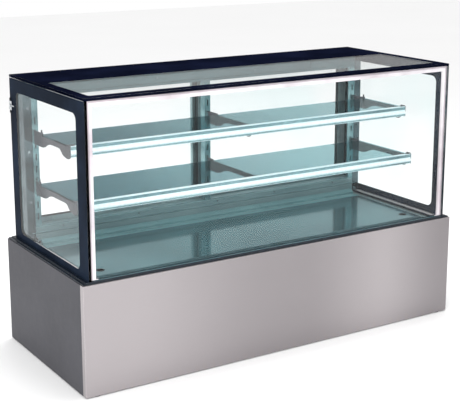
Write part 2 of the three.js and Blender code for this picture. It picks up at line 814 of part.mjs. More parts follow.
const FLOOR = PLATE_TOP + GAP;
const COIL = { x: -655, y: 20, z: WELL_BOTTOM + WELL_WALL + 6, width: 1310, depth: 110, height: 120 };
const BAFFLE = { x: -700, y: -20, z: WELL_BOTTOM + WELL_WALL + GAP, width: 1400, height: 138 };
const FAN_AXES = { left: -300, right: 300 };
const FAN_RADIUS = 55;
const FAN_OFFSET = -4; // the blades' middle plane, from the mount's plate
const CONDENSER = { x: 250, y: 235, z: FLOOR, width: 350, depth: 45, height: 165 };
const CONDENSER_FAN = { x: 425, z: FLOOR + CONDENSER.height / 2, radius: 68 };

const baffle = piece(
  'fan_baffle',
  fanMount(
    BAFFLE.width,
    BAFFLE.height,
    Object.values(FAN_AXES).map((x) => [x - BAFFLE.x, BAFFLE.height / 2]),
    FAN_RADIUS + 5,
  ),
  METALS.galvanised,
  [BAFFLE.x, BAFFLE.y, BAFFLE.z],
);
const shroud = piece(
  'condenser_shroud',
  fanMount(
    CONDENSER.width,
    CONDENSER.height,
    [[CONDENSER_FAN.x - CONDENSER.x, CONDENSER_FAN.z - CONDENSER.z]],
    CONDENSER_FAN.radius + 5,
  ),
  PAINTS.blackSteel,
  [CONDENSER.x, CONDENSER.y - 25, CONDENSER.z],
);
const evaporatorFans = Object.entries(FAN_AXES).map(([place, x]) => piece(
  `evaporator_fan_${place}`,
  fan(FAN_RADIUS),
  PAINTS.blackPlastic,
  [x, BAFFLE.y + FAN_OFFSET, BAFFLE.z + BAFFLE.height / 2],
));
const condenserFan = piece(
  'condenser_fan',
  fan(CONDENSER_FAN.radius),
  PAINTS.blackPlastic,
  [CONDENSER_FAN.x, CONDENSER.y - 25 + FAN_OFFSET, CONDENSER_FAN.z],
);
const COMPRESSOR = [-560, 120, FLOOR];
const coilFace = COIL.x - 2 * GAP;
const suction = pipe([
  [coilFace, 60, 340],
  [-690, 60, 340],
  [-716, 60, 322],
  [-720, 60, 290],
  [-720, 60, 215],
  [-720, 90, 165],
  [-705, 120, 150],
  [-675, 120, 150],
  [COMPRESSOR[0] - SHELL_RADIUS - 2 * GAP, 120, 150],
], 7, 22);
const liquid = pipe([
  [CONDENSER.x - 2 * GAP, 250, 120],
  [200, 250, 120],
  [60, 270, 90],
  [-400, 270, 84],
  [-700, 230, 90],
  [-758, 130, 150],
  [-760, 100, 230],
  [-760, 100, 320],
  [-740, 100, 350],
  [-700, 100, 356],
  [-680, 100, 356],
  [coilFace, 100, 356],
], 4, 34);
const cooling = assembly(
  piece('evaporator_coil', finnedBlock(COIL.width, COIL.depth, COIL.height, 40), METALS.galvanised,
    [COIL.x, COIL.y, COIL.z]),
  facingFront(baffle),
  ...evaporatorFans.map(facingFront),
  piece('compressor', compressor(), PAINTS.blackSteel, COMPRESSOR),
  piece('condenser_coil', finnedBlock(CONDENSER.width, CONDENSER.depth, CONDENSER.height, 24), METALS.galvanised,
    [CONDENSER.x, CONDENSER.y, CONDENSER.z]),
  facingFront(shroud),
  facingFront(condenserFan),
  piece('suction_pipe', suction, METALS.copper),
  piece('liquid_pipe', liquid, METALS.copper),
  piece('drain_pan', drainPan(), PAINTS.blackPlastic, [-120, -150, FLOOR]),
);

const controls = assembly(
  piece('control_box', controlBox(), PAINTS.blackSteel),
  piece('thermostat', thermostat(), PAINTS.blackPlastic, [THERMOSTAT.x, 0, THERMOSTAT.z]),
  piece('power_rocker', rocker(), PAINTS.blackPlastic, [ROCKERS.power, ROCKER.y, ROCKER.z]),
  piece('light_rocker', rocker(), PAINTS.blackPlastic, [ROCKERS.light, ROCKER.y, ROCKER.z]),
  piece('mains_gland', gland(), PAINTS.blackPlastic, [GLAND.x, 355, GLAND.z]),
);

const displayCase = new THREE.Group();
displayCase.add(base, deck, glassHouse, rearFrame, doors, shelves, cooling, controls);

export default displayCase;
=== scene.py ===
"""Refrigerated bakery display case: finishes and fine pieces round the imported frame. Metres."""

from math import cos, pi, radians, sin

import bmesh
import bpy
from mathutils import Matrix, Vector


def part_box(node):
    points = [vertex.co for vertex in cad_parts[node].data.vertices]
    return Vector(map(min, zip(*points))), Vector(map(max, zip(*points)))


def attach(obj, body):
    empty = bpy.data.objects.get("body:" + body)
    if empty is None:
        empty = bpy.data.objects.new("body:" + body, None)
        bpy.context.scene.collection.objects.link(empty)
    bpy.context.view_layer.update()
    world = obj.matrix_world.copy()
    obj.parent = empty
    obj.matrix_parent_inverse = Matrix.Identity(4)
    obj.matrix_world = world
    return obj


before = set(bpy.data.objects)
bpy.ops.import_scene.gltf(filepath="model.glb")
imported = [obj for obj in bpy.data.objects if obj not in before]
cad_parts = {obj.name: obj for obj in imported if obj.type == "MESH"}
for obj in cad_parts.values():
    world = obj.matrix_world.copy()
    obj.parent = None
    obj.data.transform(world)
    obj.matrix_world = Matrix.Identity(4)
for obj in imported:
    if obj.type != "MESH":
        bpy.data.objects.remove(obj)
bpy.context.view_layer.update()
SIDES = {"left": -1, "right": 1}
SHELVES = ("top", "middle")


# ---- Node trees ------------------------------------------------------------------------------


class Wire:
    """A value on its way through a node tree. Arithmetic on it adds Math nodes."""

    def __init__(self, graph, socket):
        self.graph, self.socket = graph, socket

    def maths(self, operation, *values):
        return self.graph.add("ShaderNodeMath", {"operation": operation}, dict(enumerate(values)))

    def __add__(self, other):
        return self.maths("ADD", self, other)

    __radd__ = __add__

    def __mul__(self, other):
        return self.maths("MULTIPLY", self, other)

    __rmul__ = __mul__

    def __sub__(self, other):
        return self.maths("SUBTRACT", self, other)

    def __rsub__(self, other):
        return self.maths("SUBTRACT", other, self)

    def __truediv__(self, other):
        return self.maths("DIVIDE", self, other)

    def above(self, level, width):
        """0 below the level, 1 a width above it, and smooth between."""
        settings = {"interpolation_type": "SMOOTHSTEP"}
        return self.graph.add("ShaderNodeMapRange", settings, {0: self, 1: level, 2: level + width})


class Graph:
    """A node tree under construction."""

    def __init__(self, tree):
        self.tree = tree

    def connect(self, socket, value):
        if isinstance(value, Wire):
            self.tree.links.new(value.socket, socket)
        else:
            socket.default_value = value

    def add(self, kind, settings=None, sockets=None, output=0):
        """One node: its settings first, then the values or wires of its sockets."""
        node = self.tree.nodes.new(kind)
        for name, value in (settings or {}).items():
            setattr(node, name, value)
        for name, value in (sockets or {}).items():
            self.connect(node.inputs[name], value)
        return Wire(self, node.outputs[output])


# ---- Finishes --------------------------------------------------------------------------------


def tone(red, green, blue):
    """A screen colour of 0 to 255 a channel, as the linear colour a shader takes."""
    def linear(value):
        value /= 255
        return value / 12.92 if value <= 0.04045 else ((value + 0.055) / 1.055) ** 2.4
    return (linear(red), linear(green), linear(blue), 1.0)


def shade(colour, share, lift=0):
    """The same colour, darker or lighter by a share."""
    return tone(*(min(255, share * c + lift) for c in colour))


class Finish(Graph):
    """A material under construction, ending in one principled shader."""

    def __init__(self, name, **fixed):
        self.material = bpy.data.materials.new(name)
        self.material.use_nodes = True
        super().__init__(self.material.node_tree)
        self.tree.nodes.clear()
        self.shader = self.tree.nodes.new("ShaderNodeBsdfPrincipled")
        self.surface = self.tree.nodes.new("ShaderNodeOutputMaterial").inputs["Surface"]
        self.connect(self.surface, Wire(self, self.shader.outputs[0]))
        self.drive(**fixed)
        self.place = self.add("ShaderNodeTexCoord", output="Object")

    def drive(self, **sockets):
        for name, value in sockets.items():
            self.connect(self.shader.inputs[name.replace("_", " ")], value)

    def along(self, axis):
        """How far a point lies along one axis of the case."""
        return self.add("ShaderNodeSeparateXYZ", {}, {"Vector": self.place}, axis)

    def noise(self, scale, detail=3.0, stretch=(1, 1, 1), roughness=0.55):
        place = self.add("ShaderNodeMapping", {}, {"Vector": self.place, "Scale": stretch})
        values = {"Vector": place, "Scale": scale, "Detail": detail, "Roughness": roughness}
        return self.add("ShaderNodeTexNoise", {}, values)

    def blend(self, amount, first, second):
        settings = {"data_type": "RGBA", "blend_type": "MIX"}
        return self.add("ShaderNodeMix", settings, {"Factor": amount, 6: first, 7: second}, output=2)

    def bump(self, height, strength, distance=0.0003):
        values = {"Height": height, "Strength": strength, "Distance": distance}
        self.drive(Normal=self.add("ShaderNodeBump", {}, values))

    def edges(self, radius=0.0012):
        """1 on rounded corners within the radius, 0 on flats: the mask for painted edge highlights, in
        enamel also for rubbed wear.
        """
        rounded = self.add("ShaderNodeBevel", {"samples": 4}, {"Radius": radius})
        flat = self.add("ShaderNodeNewGeometry", output="Normal")
        values = {0: rounded, 1: flat}
        match = self.add("ShaderNodeVectorMath", {"operation": "DOT_PRODUCT"}, values, "Value")
        return (1.0 - match).above(0.02, 0.12)

    def clear_for_lamps(self):
        """Glass that lets the lamps' light straight through to what stands behind it."""
        shadow = self.add("ShaderNodeLightPath", output="Is Shadow Ray")
        scattered = self.add("ShaderNodeLightPath", output="Is Diffuse Ray")
        glass, clear = Wire(self, self.shader.outputs[0]), self.add("ShaderNodeBsdfTransparent")
        values = {"Fac": shadow + scattered, 1: glass, 2: clear}
        self.connect(self.surface, self.add("ShaderNodeMixShader", {}, values))


GRAINS = {"x": (0.006, 1, 1), "y": (1, 0.006, 1), "z": (1, 1, 0.006)}


def ground_metal(name, light, dark, grain="x", roughness=0.3, clouds=2.2, metallic=1.0, relief=0.04):
    """Sheet or bar metal with a ground grain, slow clouds of tone and a painted highlight on its rounded
    edges.
    """
    finish = Finish(name, Metallic=metallic)
    cloud = finish.noise(clouds, 3, (1, 1, 1.6))
    streaks = finish.noise(2400, 3, GRAINS[grain], 0.6)
    smears = finish.noise(9, 5)
    colour = finish.blend(cloud.above(0.32, 0.36), tone(*dark), tone(*light))
    colour = finish.blend(streaks.above(0.45, 0.3) * 0.07, colour, shade(dark, 0.72))
    # painted highlight: rounded edges lightened beyond the light tone
    colour = finish.blend(finish.edges() * 0.55, colour, shade(light, 1.12))
    finish.drive(Base_Color=colour, Roughness=roughness + 0.1 * (smears - 0.5) + 0.08 * (streaks - 0.5))
    finish.bump(streaks, relief, 0.0001)
    return finish.material


def brushed_front(name, light, dark):
    """The wide front sheet: satin steel with painted shade that swells and sinks slowly from end to end,
    and a painted highlight on its edges.
    """
    finish = Finish(name, Metallic=0.7)
    along = finish.along("X")
    cloud = finish.noise(0.9, 1, (1, 1, 0.7))
    streaks = finish.noise(2400, 3, GRAINS["x"], 0.6)
    smears = finish.noise(9, 5)
    # painted shade: darker towards the middle and at the right end, swelling and sinking with the clouds
    painted_shade_dip = along.above(-0.75, 0.7) * (1.0 - along.above(0.1, 0.45))
    end = along.above(0.5, 0.4)
    depth = (painted_shade_dip * 0.75 + end * 0.95) * (0.7 + 0.6 * cloud)
    colour = finish.blend(depth, tone(*light), tone(*dark))
    colour = finish.blend(streaks.above(0.45, 0.3) * 0.06, colour, shade(dark, 0.75))
    # painted highlight along the rounded edges, 4 mm wide
    colour = finish.blend(finish.edges(0.004) * 0.6, colour, tone(226, 220, 222))
    finish.drive(Base_Color=colour, Roughness=0.36 + 0.08 * (smears - 0.5) + 0.08 * (streaks - 0.5))
    finish.bump(streaks, 0.04, 0.0001)
    return finish.material


def spacer_lacquer(name, body, worn, foot):
    """White lacquer on the spacer bars; their foot is a dark teal."""
    finish = Finish(name, Coat_Weight=0.1, Coat_Roughness=0.12, Specular_IOR_Level=0.4)
    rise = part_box("front_glass_spacer")[0].z + SPACER_FOOT
    grain = finish.noise(240, 3)
    drift = finish.noise(5, 4)
    lacquered = finish.along("Z").above(rise - 0.0006, 0.0006)
    colour = finish.blend(drift.above(0.3, 0.4), tone(*worn), tone(*body))
    colour = finish.blend(1.0 - lacquered, colour, tone(*foot))
    finish.drive(Base_Color=colour, Roughness=0.34 + 0.12 * (drift - 0.5) + 0.05 * grain)
    finish.bump(grain, 0.18)
    return finish.material


def enamel(name, body, worn, roughness=0.4, peel=160, coat=0.0, metallic=0.0, clouds=4, shine=0.4):
    """Sprayed or moulded colour: a fine peel, slow drift of tone, dust, and edges lightened partly as
    rubbed wear, partly as painted highlight.
    """
    fixed = {"Coat_Weight": coat, "Coat_Roughness": 0.12, "Specular_IOR_Level": shine}
    finish = Finish(name, Metallic=metallic, **fixed)
    drift = finish.noise(clouds, 4)
    grain = finish.noise(peel, 3)
    dust = finish.noise(31, 6)
    colour = finish.blend(drift.above(0.3, 0.4), shade(body, 0.9), tone(*body))
    colour = finish.blend(dust.above(0.62, 0.2) * 0.12, colour, tone(*worn))
    # lighter rounded edges: rubbed wear and painted highlight
    colour = finish.blend(finish.edges() * 0.5, colour, tone(*worn))
    finish.drive(Base_Color=colour, Roughness=roughness + 0.14 * (dust - 0.5) + 0.05 * grain)
    finish.bump(grain, 0.18)
    return finish.material


def sheet_glass(name, bend, roughness, pale, deep, shaded_leftwards=False):
    """Coated, low-glare glass, faintly wiped. Its tone drifts; where asked, painted shade deepens a sheet
    towards the left.
    """
    finish = Finish(name, Transmission_Weight=1.0, IOR=bend)
    drift = finish.noise(2.4, 2)
    wipes = finish.noise(14, 4, (1, 1, 0.3))
    if shaded_leftwards:
        # painted shade: the sheet deepens towards its left end
        paleness = finish.along("X").above(-0.95, 1.7) + 0.2 * (drift - 0.5)
    else:
        paleness = drift.above(0.35, 0.3)
    finish.drive(
        Base_Color=finish.blend(paleness, tone(*deep), tone(*pale)),
        Roughness=roughness + wipes.above(0.6, 0.25) * 0.02,
    )
    finish.bump(drift, 0.02, 0.0002)
    finish.clear_for_lamps()
    return finish.material


def fired_enamel(name, colour, shine):
    """Ceramic border fired on to glass: almost black, with pinholes and a soft drift."""
    finish = Finish(name, Specular_IOR_Level=shine)
    drift = finish.noise(5, 4)
    pinholes = finish.noise(900, 2)
    base = finish.blend(drift.above(0.35, 0.35), tone(*colour), shade(colour, 1.35, 4))
    base = finish.blend(pinholes.above(0.72, 0.1) * 0.5, base, tone(90, 100, 110))
    finish.drive(Base_Color=base, Roughness=0.3 + 0.12 * drift)
    finish.bump(pinholes, 0.05, 0.0001)
    return finish.material


def lamp_cover(name, glow):
    """Milky acrylic over the lamps, brighter where a lamp stands behind it."""
    finish = Finish(name, Emission_Strength=glow)
    values = {"Vector": finish.place, "Scale": 14.0}
    lamps = finish.add("ShaderNodeTexWave", {"bands_direction": "X"}, values)
    grain = finish.noise(260, 3)
    body = finish.blend(lamps * 0.16 + 0.5, tone(204, 230, 235), tone(244, 254, 255))
    finish.drive(Base_Color=body, Emission_Color=body, Roughness=0.3 + 0.1 * grain)
    finish.bump(grain, 0.08, 0.0002)
    return finish.material


def spangled(name, light, dark):
    """Galvanised steel: flat crystals of slightly different tone, and white bloom."""
    finish = Finish(name, Metallic=0.85)
    crystals = finish.add("ShaderNodeTexVoronoi", {}, {"Vector": finish.place, "Scale": 55.0}, "Color")
    facet = finish.add("ShaderNodeSeparateColor", {}, {"Color": crystals})
    bloom = finish.noise(12, 5)
    colour = finish.blend(facet, tone(*dark), tone(*light))
    colour = finish.blend(bloom.above(0.6, 0.2) * 0.4, colour, tone(196, 200, 200))
    finish.drive(Base_Color=colour, Roughness=0.36 + 0.2 * facet)
    finish.bump(facet, 0.1, 0.0002)
    return finish.material


def rubber(name, body):
    """Moulded rubber with a grainy skin and a chalky bloom."""
    finish = Finish(name)
    grain = finish.noise(220, 4)
    chalk = finish.noise(24, 5)
    colour = finish.blend(chalk.above(0.58, 0.3) * 0.35, tone(*body), tone(84, 86, 90))
    finish.drive(Base_Color=colour, Roughness=0.62 + 0.2 * grain)
    finish.bump(grain, 0.3, 0.0004)
    return finish.material


SPACER_FOOT = 0.0085  # height of the spacer bars' dark foot
FINISHES = {
    "front": brushed_front("front_sheet_satin", (173, 167, 169), (142, 137, 139)),
    "frame": spangled("frame_galvanised", (150, 158, 162), (112, 120, 126)),
    "spacer": spacer_lacquer("spacer_white", (246, 240, 243), (206, 194, 200), (70, 104, 112)),
    "spacer_edge": spacer_lacquer("spacer_edge_rose", (206, 194, 201), (170, 158, 166), (34, 46, 56)),
    # shelf glass: painted shade deepens it towards the left
    "shelf": sheet_glass("shelf_glass_teal", 1.08, 0.012, (158, 196, 201), (62, 100, 109), True),
    "border": fired_enamel("glass_border_side", (20, 28, 40), 0.01),
    "border_top": fired_enamel("glass_border_top", (8, 11, 24), 0.0),
    "display": fired_enamel("display_window", (14, 12, 16), 0.5),
    "rubber": rubber("seal_rubber", (24, 25, 27)),
    "lamp": lamp_cover("lamp_cover_milky", 0.1),
}
for key, name, bend in (
    ("top_glass", "top_glass_clear", 1.07),
    ("glass", "case_glass", 1.18),
    ("door_glass", "door_glass_clear", 1.18),
):
    FINISHES[key] = sheet_glass(name, bend, 0.005, (254, 255, 255), (250, 254, 254))
for key, name, *look in (  # light, dark, grain, roughness, clouds, metallic, relief
    ("rear", "rear_sheet_satin", (196, 195, 197), (168, 167, 170), "x", 0.38, 1.9, 0.8),
    ("deck", "deck_polished", (104, 152, 160), (66, 114, 123), "x", 0.1, 1.4, 0.75, 0.004),
    ("duct", "duct_polished", (122, 164, 168), (96, 138, 143), "x", 0.3, 1.6, 0.25, 0.01),
    ("grille", "grille_polished", (100, 132, 138), (72, 102, 109), "x", 0.26, 1.6, 0.6),
    ("post", "post_polished", (100, 118, 123), (66, 84, 90), "z", 0.2, 9.0, 0.85),
    ("standard", "standard_polished", (150, 188, 192), (96, 136, 142), "z", 0.22, 9.0, 0.6),
    ("header", "header_satin", (108, 142, 147), (80, 114, 120), "x", 0.32, 2.0, 0.6),
    ("track", "track_satin", (136, 164, 168), (106, 136, 141), "x", 0.32, 1.4, 0.3, 0.01),
    ("door", "door_satin", (168, 192, 195), (132, 157, 161), "z", 0.28, 3.2, 0.45),
    ("rail", "rail_satin", (232, 248, 251), (204, 230, 236), "x", 0.3, 3.0, 0.15),
    # painted shade: teal bands standing for the shade above and below the rail's lens
    ("rail_band", "rail_band_teal", (150, 186, 192), (112, 148, 155), "x", 0.26, 2.0, 0.6),
    ("trim", "trim_bright", (240, 236, 236), (206, 204, 206), "y", 0.24, 4.0, 0.5),
    ("fins", "coil_mill_finish", (186, 192, 196), (146, 152, 156), "z", 0.36, 6.0, 1.0),
    ("copper", "drawn_copper", (196, 124, 86), (146, 84, 56), "z", 0.3, 8.0, 1.0),
    ("chrome", "bright_chrome", (226, 230, 232), (186, 192, 196), "z", 0.12, 5.0, 1.0),
    ("screw", "screw_zinc", (206, 210, 212), (150, 156, 160), "x", 0.26, 20.0, 1.0),
):
    FINISHES[key] = ground_metal(name, *look)
for key, name, *look in (  # body, worn, roughness, peel, coat, metallic, clouds, shine
    # end panels: dark grey painted shade standing for the front's stainless in shadow
    ("side", "side_panel_grey", (77, 77, 83), (132, 130, 136), 0.5, 210, 0.0, 0.0, 2.2, 0.25),
    ("foot", "foot_black_enamel", (34, 36, 38), (120, 122, 124), 0.42),
    ("rim", "rim_gloss_black", (20, 28, 40), (70, 92, 102), 0.26, 120, 0.1),
    ("well", "well_liner_pale", (150, 172, 176), (206, 214, 214), 0.4),
    ("bracket", "bracket_grey", (72, 74, 81), (132, 150, 154), 0.36, 190, 0.1, 0.3),
    ("black", "black_moulded", (30, 31, 33), (92, 94, 97), 0.42, 260),
    ("shell", "compressor_black", (22, 24, 26), (86, 88, 92), 0.34, 120, 0.3),
    ("silicone", "silicone_bead", (58, 74, 80), (120, 134, 140), 0.3, 90, 0.3),
    ("key", "membrane_key", (196, 198, 200), (232, 232, 232), 0.5, 200),
):
    FINISHES[key] = enamel(name, *look)


def dress(node, finish, soften):
    """A CAD node takes a finish; its loose triangles are welded and its sharp edges eased."""
    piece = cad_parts[node]
    piece.data.materials.clear()
    piece.data.materials.append(FINISHES[finish])
    if soften:
        weld = piece.modifiers.new("weld", "WELD")
        weld.merge_threshold = 0.00002
        flatten = piece.modifiers.new("flatten", "DECIMATE")
        flatten.decimate_type = "DISSOLVE"
        flatten.angle_limit = radians(1)
        ease = piece.modifiers.new("ease", "BEVEL")
        ease.width = soften
        ease.segments = 2
        ease.limit_method = "ANGLE"
        ease.angle_limit = radians(35)


# ---- Making pieces ---------------------------------------------------------------------------


def keep(name, mesh, body):
    """A finished mesh becomes a piece that rides on its body."""
    piece = bpy.data.objects.new(name, mesh)
    bpy.context.scene.collection.objects.link(piece)
    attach(piece, body)


def shaped(name, finish, body="cabinet"):
    """Runs the build function that follows, and keeps what it adds to the shape as one piece."""
    def make(build):
        shape = bmesh.new()
        build(shape)
        bmesh.ops.recalc_face_normals(shape, faces=shape.faces)
        mesh = bpy.data.meshes.new(name)
        shape.to_mesh(mesh)
        shape.free()
        mesh.materials.append(FINISHES[finish])
        keep(name, mesh, body)
    return make


def edges_of(corners):
    """The edges that meet at some corners, each of them once and always in the same order."""
    return list(dict.fromkeys(edge for corner in corners for edge in corner.link_edges))


def add_block(shape, low, high, ease=0.0):
    """A block between two corners, with its edges eased where asked."""
    size = Vector(high) - Vector(low)
    middle = (Vector(high) + Vector(low)) / 2
    grown = Matrix.Translation(middle) @ Matrix.Diagonal((*size, 1))
    made = bmesh.ops.create_cube(shape, size=1.0, matrix=grown)["verts"]
    if ease:
        edges = edges_of(made)
        bmesh.ops.bevel(shape, geom=edges, offset=ease, segments=2, affect="EDGES", profile=0.7)


def add_pair(shape, low, high, ease=0.0):
    """The same block on the left and the right, its x measured outwards from the middle."""
    for side in (-1, 1):
        x0, x1 = sorted((side * low[0], side * high[0]))
        add_block(shape, (x0, *low[1:]), (x1, *high[1:]), ease)


def add_rod(shape, centre, radius, length, axis="z", sides=20, ease=0.0):
    """A round bar along x or z, with its rims eased where asked."""
    turn = Matrix.Rotation(pi / 2, 4, "Y") if axis == "x" else Matrix()
    made = bmesh.ops.create_cone(
        shape, cap_ends=True, segments=sides, radius1=radius, radius2=radius, depth=length,
        matrix=Matrix.Translation(centre) @ turn,
    )["verts"]
    if ease:
        rims = [edge for edge in edges_of(made) if any(len(face.verts) > 4 for face in edge.link_faces)]
        bmesh.ops.bevel(shape, geom=rims, offset=ease, segments=2, affect="EDGES", profile=0.6)


PLACES = {  # a place along an axis, and u and v across it, as x, y, z
    "x": lambda along, u, v: (along, u, v),
    "y": lambda along, u, v: (u, along, v),
    "z": lambda along, u, v: (u, v, along),
}


def add_skin(shape, ring, after):
    """A band of faces between two rings of equally many corners."""
    for i, corner in enumerate(ring):
        j = (i + 1) % len(ring)
        shape.faces.new((corner, ring[j], after[j], after[i]))


def add_run(shape, section, start, end, axis="x"):
    """A closed section, given across the run, carried from start to end along an axis."""
    first, last = [
        [shape.verts.new(PLACES[axis](along, u, v)) for u, v in section] for along in (start, end)
    ]
    add_skin(shape, first, last)
    shape.faces.new(first)
    shape.faces.new(last)


def add_border(shape, outer, inner, level, thickness, axis):
    """A flat ring between two outlines of equally many points, facing along an axis."""
    low_out, low_in, high_out, high_in = [
        [shape.verts.new(PLACES[axis](along, u, v)) for u, v in outline]
        for along in (level, level + thickness) for outline in (outer, inner)
    ]
    add_skin(shape, low_out, low_in)
    add_skin(shape, low_in, high_in)
    add_skin(shape, high_in, high_out)
    add_skin(shape, high_out, low_out)


def arc(centre, radius, start, end, steps):
    """Points along an arc, in degrees."""
    turns = [radians(start + (end - start) * i / steps) for i in range(steps + 1)]
    return [(centre[0] + radius * cos(t), centre[1] + radius * sin(t)) for t in turns]


def circle(centre, radius, steps):
    """Points round a whole circle, none of them twice."""
    return arc(centre, radius, 0, 360 - 360 / steps, steps - 1)


def round_box(low, high, radius, steps=8, inset=0.0):
    """The outline between two corners, drawn in by an inset, with its corners rounded."""
    (x0, y0), (x1, y1) = [value + inset for value in low], [value - inset for value in high]
    corners = ((x1, y1, -1, -1), (x0, y1, 1, -1), (x0, y0, 1, 1), (x1, y0, -1, 1))
    points = []
    for quarter, (x, y, dx, dy) in enumerate(corners):
        start = 90 * quarter
        points += arc((x + dx * radius, y + dy * radius), radius, start, start + 90, steps)
    return points


# ---- Geometry Nodes --------------------------------------------------------------------------


class Recipe(Graph):
    """A Geometry Nodes tree with named inputs, ending in real geometry with its material set."""

    def __init__(self, name, **sizes):
        super().__init__(bpy.data.node_groups.new(name, "GeometryNodeTree"))
        new_socket = self.tree.interface.new_socket
        new_socket("Points", in_out="INPUT", socket_type="NodeSocketGeometry")
        for size, value in sizes.items():
            kind = "NodeSocketInt" if isinstance(value, int) else "NodeSocketFloat"
            new_socket(size.replace("_", " "), in_out="INPUT", socket_type=kind).default_value = value
        new_socket("Finish", in_out="INPUT", socket_type="NodeSocketMaterial")
        new_socket("Geometry", in_out="OUTPUT", socket_type="NodeSocketGeometry")
        self.given = self.tree.nodes.new("NodeGroupInput")

    def size(self, name):
        return Wire(self, self.given.outputs[name])

    def vector(self, x=0.0, y=0.0, z=0.0):
        return self.add("ShaderNodeCombineXYZ", {}, {"X": x, "Y": y, "Z": z})

    def shape(self, kind, mode=None, **sockets):
        """A mesh or curve node, with its sockets by name."""
        values = {name.replace("_", " "): value for name, value in sockets.items()}
        return self.add("GeometryNode" + kind, {"mode": mode} if mode else {}, values)

    def raised(self, geometry, rise=0.0, turn=(0, 0, 0)):
        offset = self.vector(z=rise)
        return self.shape("Transform", Geometry=geometry, Translation=offset, Rotation=turn)

    def joined(self, *parts):
        node = self.tree.nodes.new("GeometryNodeJoinGeometry")
        for part in parts:
            self.connect(node.inputs[0], part)
        return Wire(self, node.outputs[0])

    def swept(self, path, profile, caps=False):
        return self.shape("CurveToMesh", Curve=path, Profile_Curve=profile, Fill_Caps=caps)

    def repeated(self, shape):
        """The shape stands on every given point, its own z turned to the point's facing."""
        settings = {"data_type": "FLOAT_VECTOR"}
        facing = self.add("GeometryNodeInputNamedAttribute", settings, {"Name": "facing"})
        turn = self.add("FunctionNodeAlignRotationToVector", {"axis": "Z"}, {"Vector": facing})
        return self.shape("InstanceOnPoints", Points=self.size("Points"), Instance=shape, Rotation=turn)

    def close(self, geometry):
        real = self.shape("RealizeInstances", Geometry=geometry)
        painted = self.shape("SetMaterial", Geometry=real, Material=self.size("Finish"))
        self.connect(self.tree.nodes.new("NodeGroupOutput").inputs[0], painted)
        return self


def grow(name, recipe, points, finish, slot, body="cabinet", **sizes):
    """Runs a recipe over points with facings, and keeps the result as one plain piece."""
    mesh = bpy.data.meshes.new(name)
    mesh.from_pydata([place for place, _ in points], [], [])
    facing = mesh.attributes.new("facing", "FLOAT_VECTOR", "POINT")
    for i, (_, direction) in enumerate(points):
        facing.data[i].vector = direction
    holder = bpy.data.objects.new(name + "_points", mesh)
    bpy.context.scene.collection.objects.link(holder)
    modifier = holder.modifiers.new("recipe", "NODES")
    modifier.node_group = recipe.tree
    values = {size.replace("_", " "): value for size, value in sizes.items()}
    values["Finish"] = FINISHES[finish]
    for item in recipe.tree.interface.items_tree:
        if item.name in values:
            modifier[item.identifier] = values[item.name]
    graph = bpy.context.evaluated_depsgraph_get()
    graph.update()
    made = bpy.data.meshes.new_from_object(holder.evaluated_get(graph))
    holder.modifiers.remove(modifier)
    bpy.data.objects.remove(holder)
    made.name = name
    keep(name, made, body)


def cross_head_screw():
    """Domed head on a washer face with a cross recess."""
    recipe = Recipe("cross_head_screw", Head_radius=0.004, Head_height=0.002)
    radius, height = recipe.size("Head radius"), recipe.size("Head height")
    half = height * 0.5
    washer = recipe.shape("MeshCylinder", Vertices=20, Radius=radius, Depth=half)
    dome = recipe.shape(
        "MeshCone", Vertices=20, Radius_Top=radius * 0.62, Radius_Bottom=radius * 0.94, Depth=half
    )
    head = recipe.joined(recipe.raised(washer, height * 0.25), recipe.raised(dome, height * 0.52))
    arm, blade = radius * 0.95, radius * 0.22
    slots = [
        recipe.raised(recipe.shape("MeshCube", Size=recipe.vector(*size)), height)
        for size in ((arm, blade, half), (blade, arm, half))
    ]
    values = {"Mesh 1": head, "Mesh 2": recipe.joined(*slots)}
    cut = recipe.add("GeometryNodeMeshBoolean", {"operation": "DIFFERENCE"}, values)
    return recipe.close(recipe.repeated(cut))


def hex_nut():
    """Nut with a round washer face above and below."""
    recipe = Recipe("hex_nut", Across=0.009, Thickness=0.008)
    across, thick = recipe.size("Across"), recipe.size("Thickness")
    nut = recipe.shape("MeshCylinder", Vertices=6, Radius=across, Depth=thick)
    face = recipe.shape("MeshCylinder", Vertices=24, Radius=across * 0.84, Depth=thick * 1.18)
    return recipe.close(recipe.repeated(recipe.joined(nut, face)))


def pressed_louvre():
    """Half-round hood over a slot, open below, drawn with its length along x."""
    recipe = Recipe("pressed_louvre", Length=0.35, Reach=0.006)
    length, reach = recipe.size("Length"), recipe.size("Reach")
    ends = recipe.vector(x=length * -0.5), recipe.vector(x=length * 0.5)
    line = recipe.shape("CurvePrimitiveLine", Start=ends[0], End=ends[1])
    hood = recipe.shape(
        "CurveArc", "RADIUS", Resolution=9, Radius=reach,
        Start_Angle=radians(152), Sweep_Angle=radians(118),
    )
    shell = recipe.swept(line, hood)
    values = {"Mesh": shell, "Offset Scale": 0.001, "Individual": False}
    thick = recipe.add("GeometryNodeExtrudeMesh", {"mode": "FACES"}, values)
    closed = recipe.joined(thick, recipe.shape("FlipFaces", Mesh=shell))
    welded = recipe.shape("MergeByDistance", Geometry=closed, Distance=0.00001)
    return recipe.close(recipe.repeated(welded))


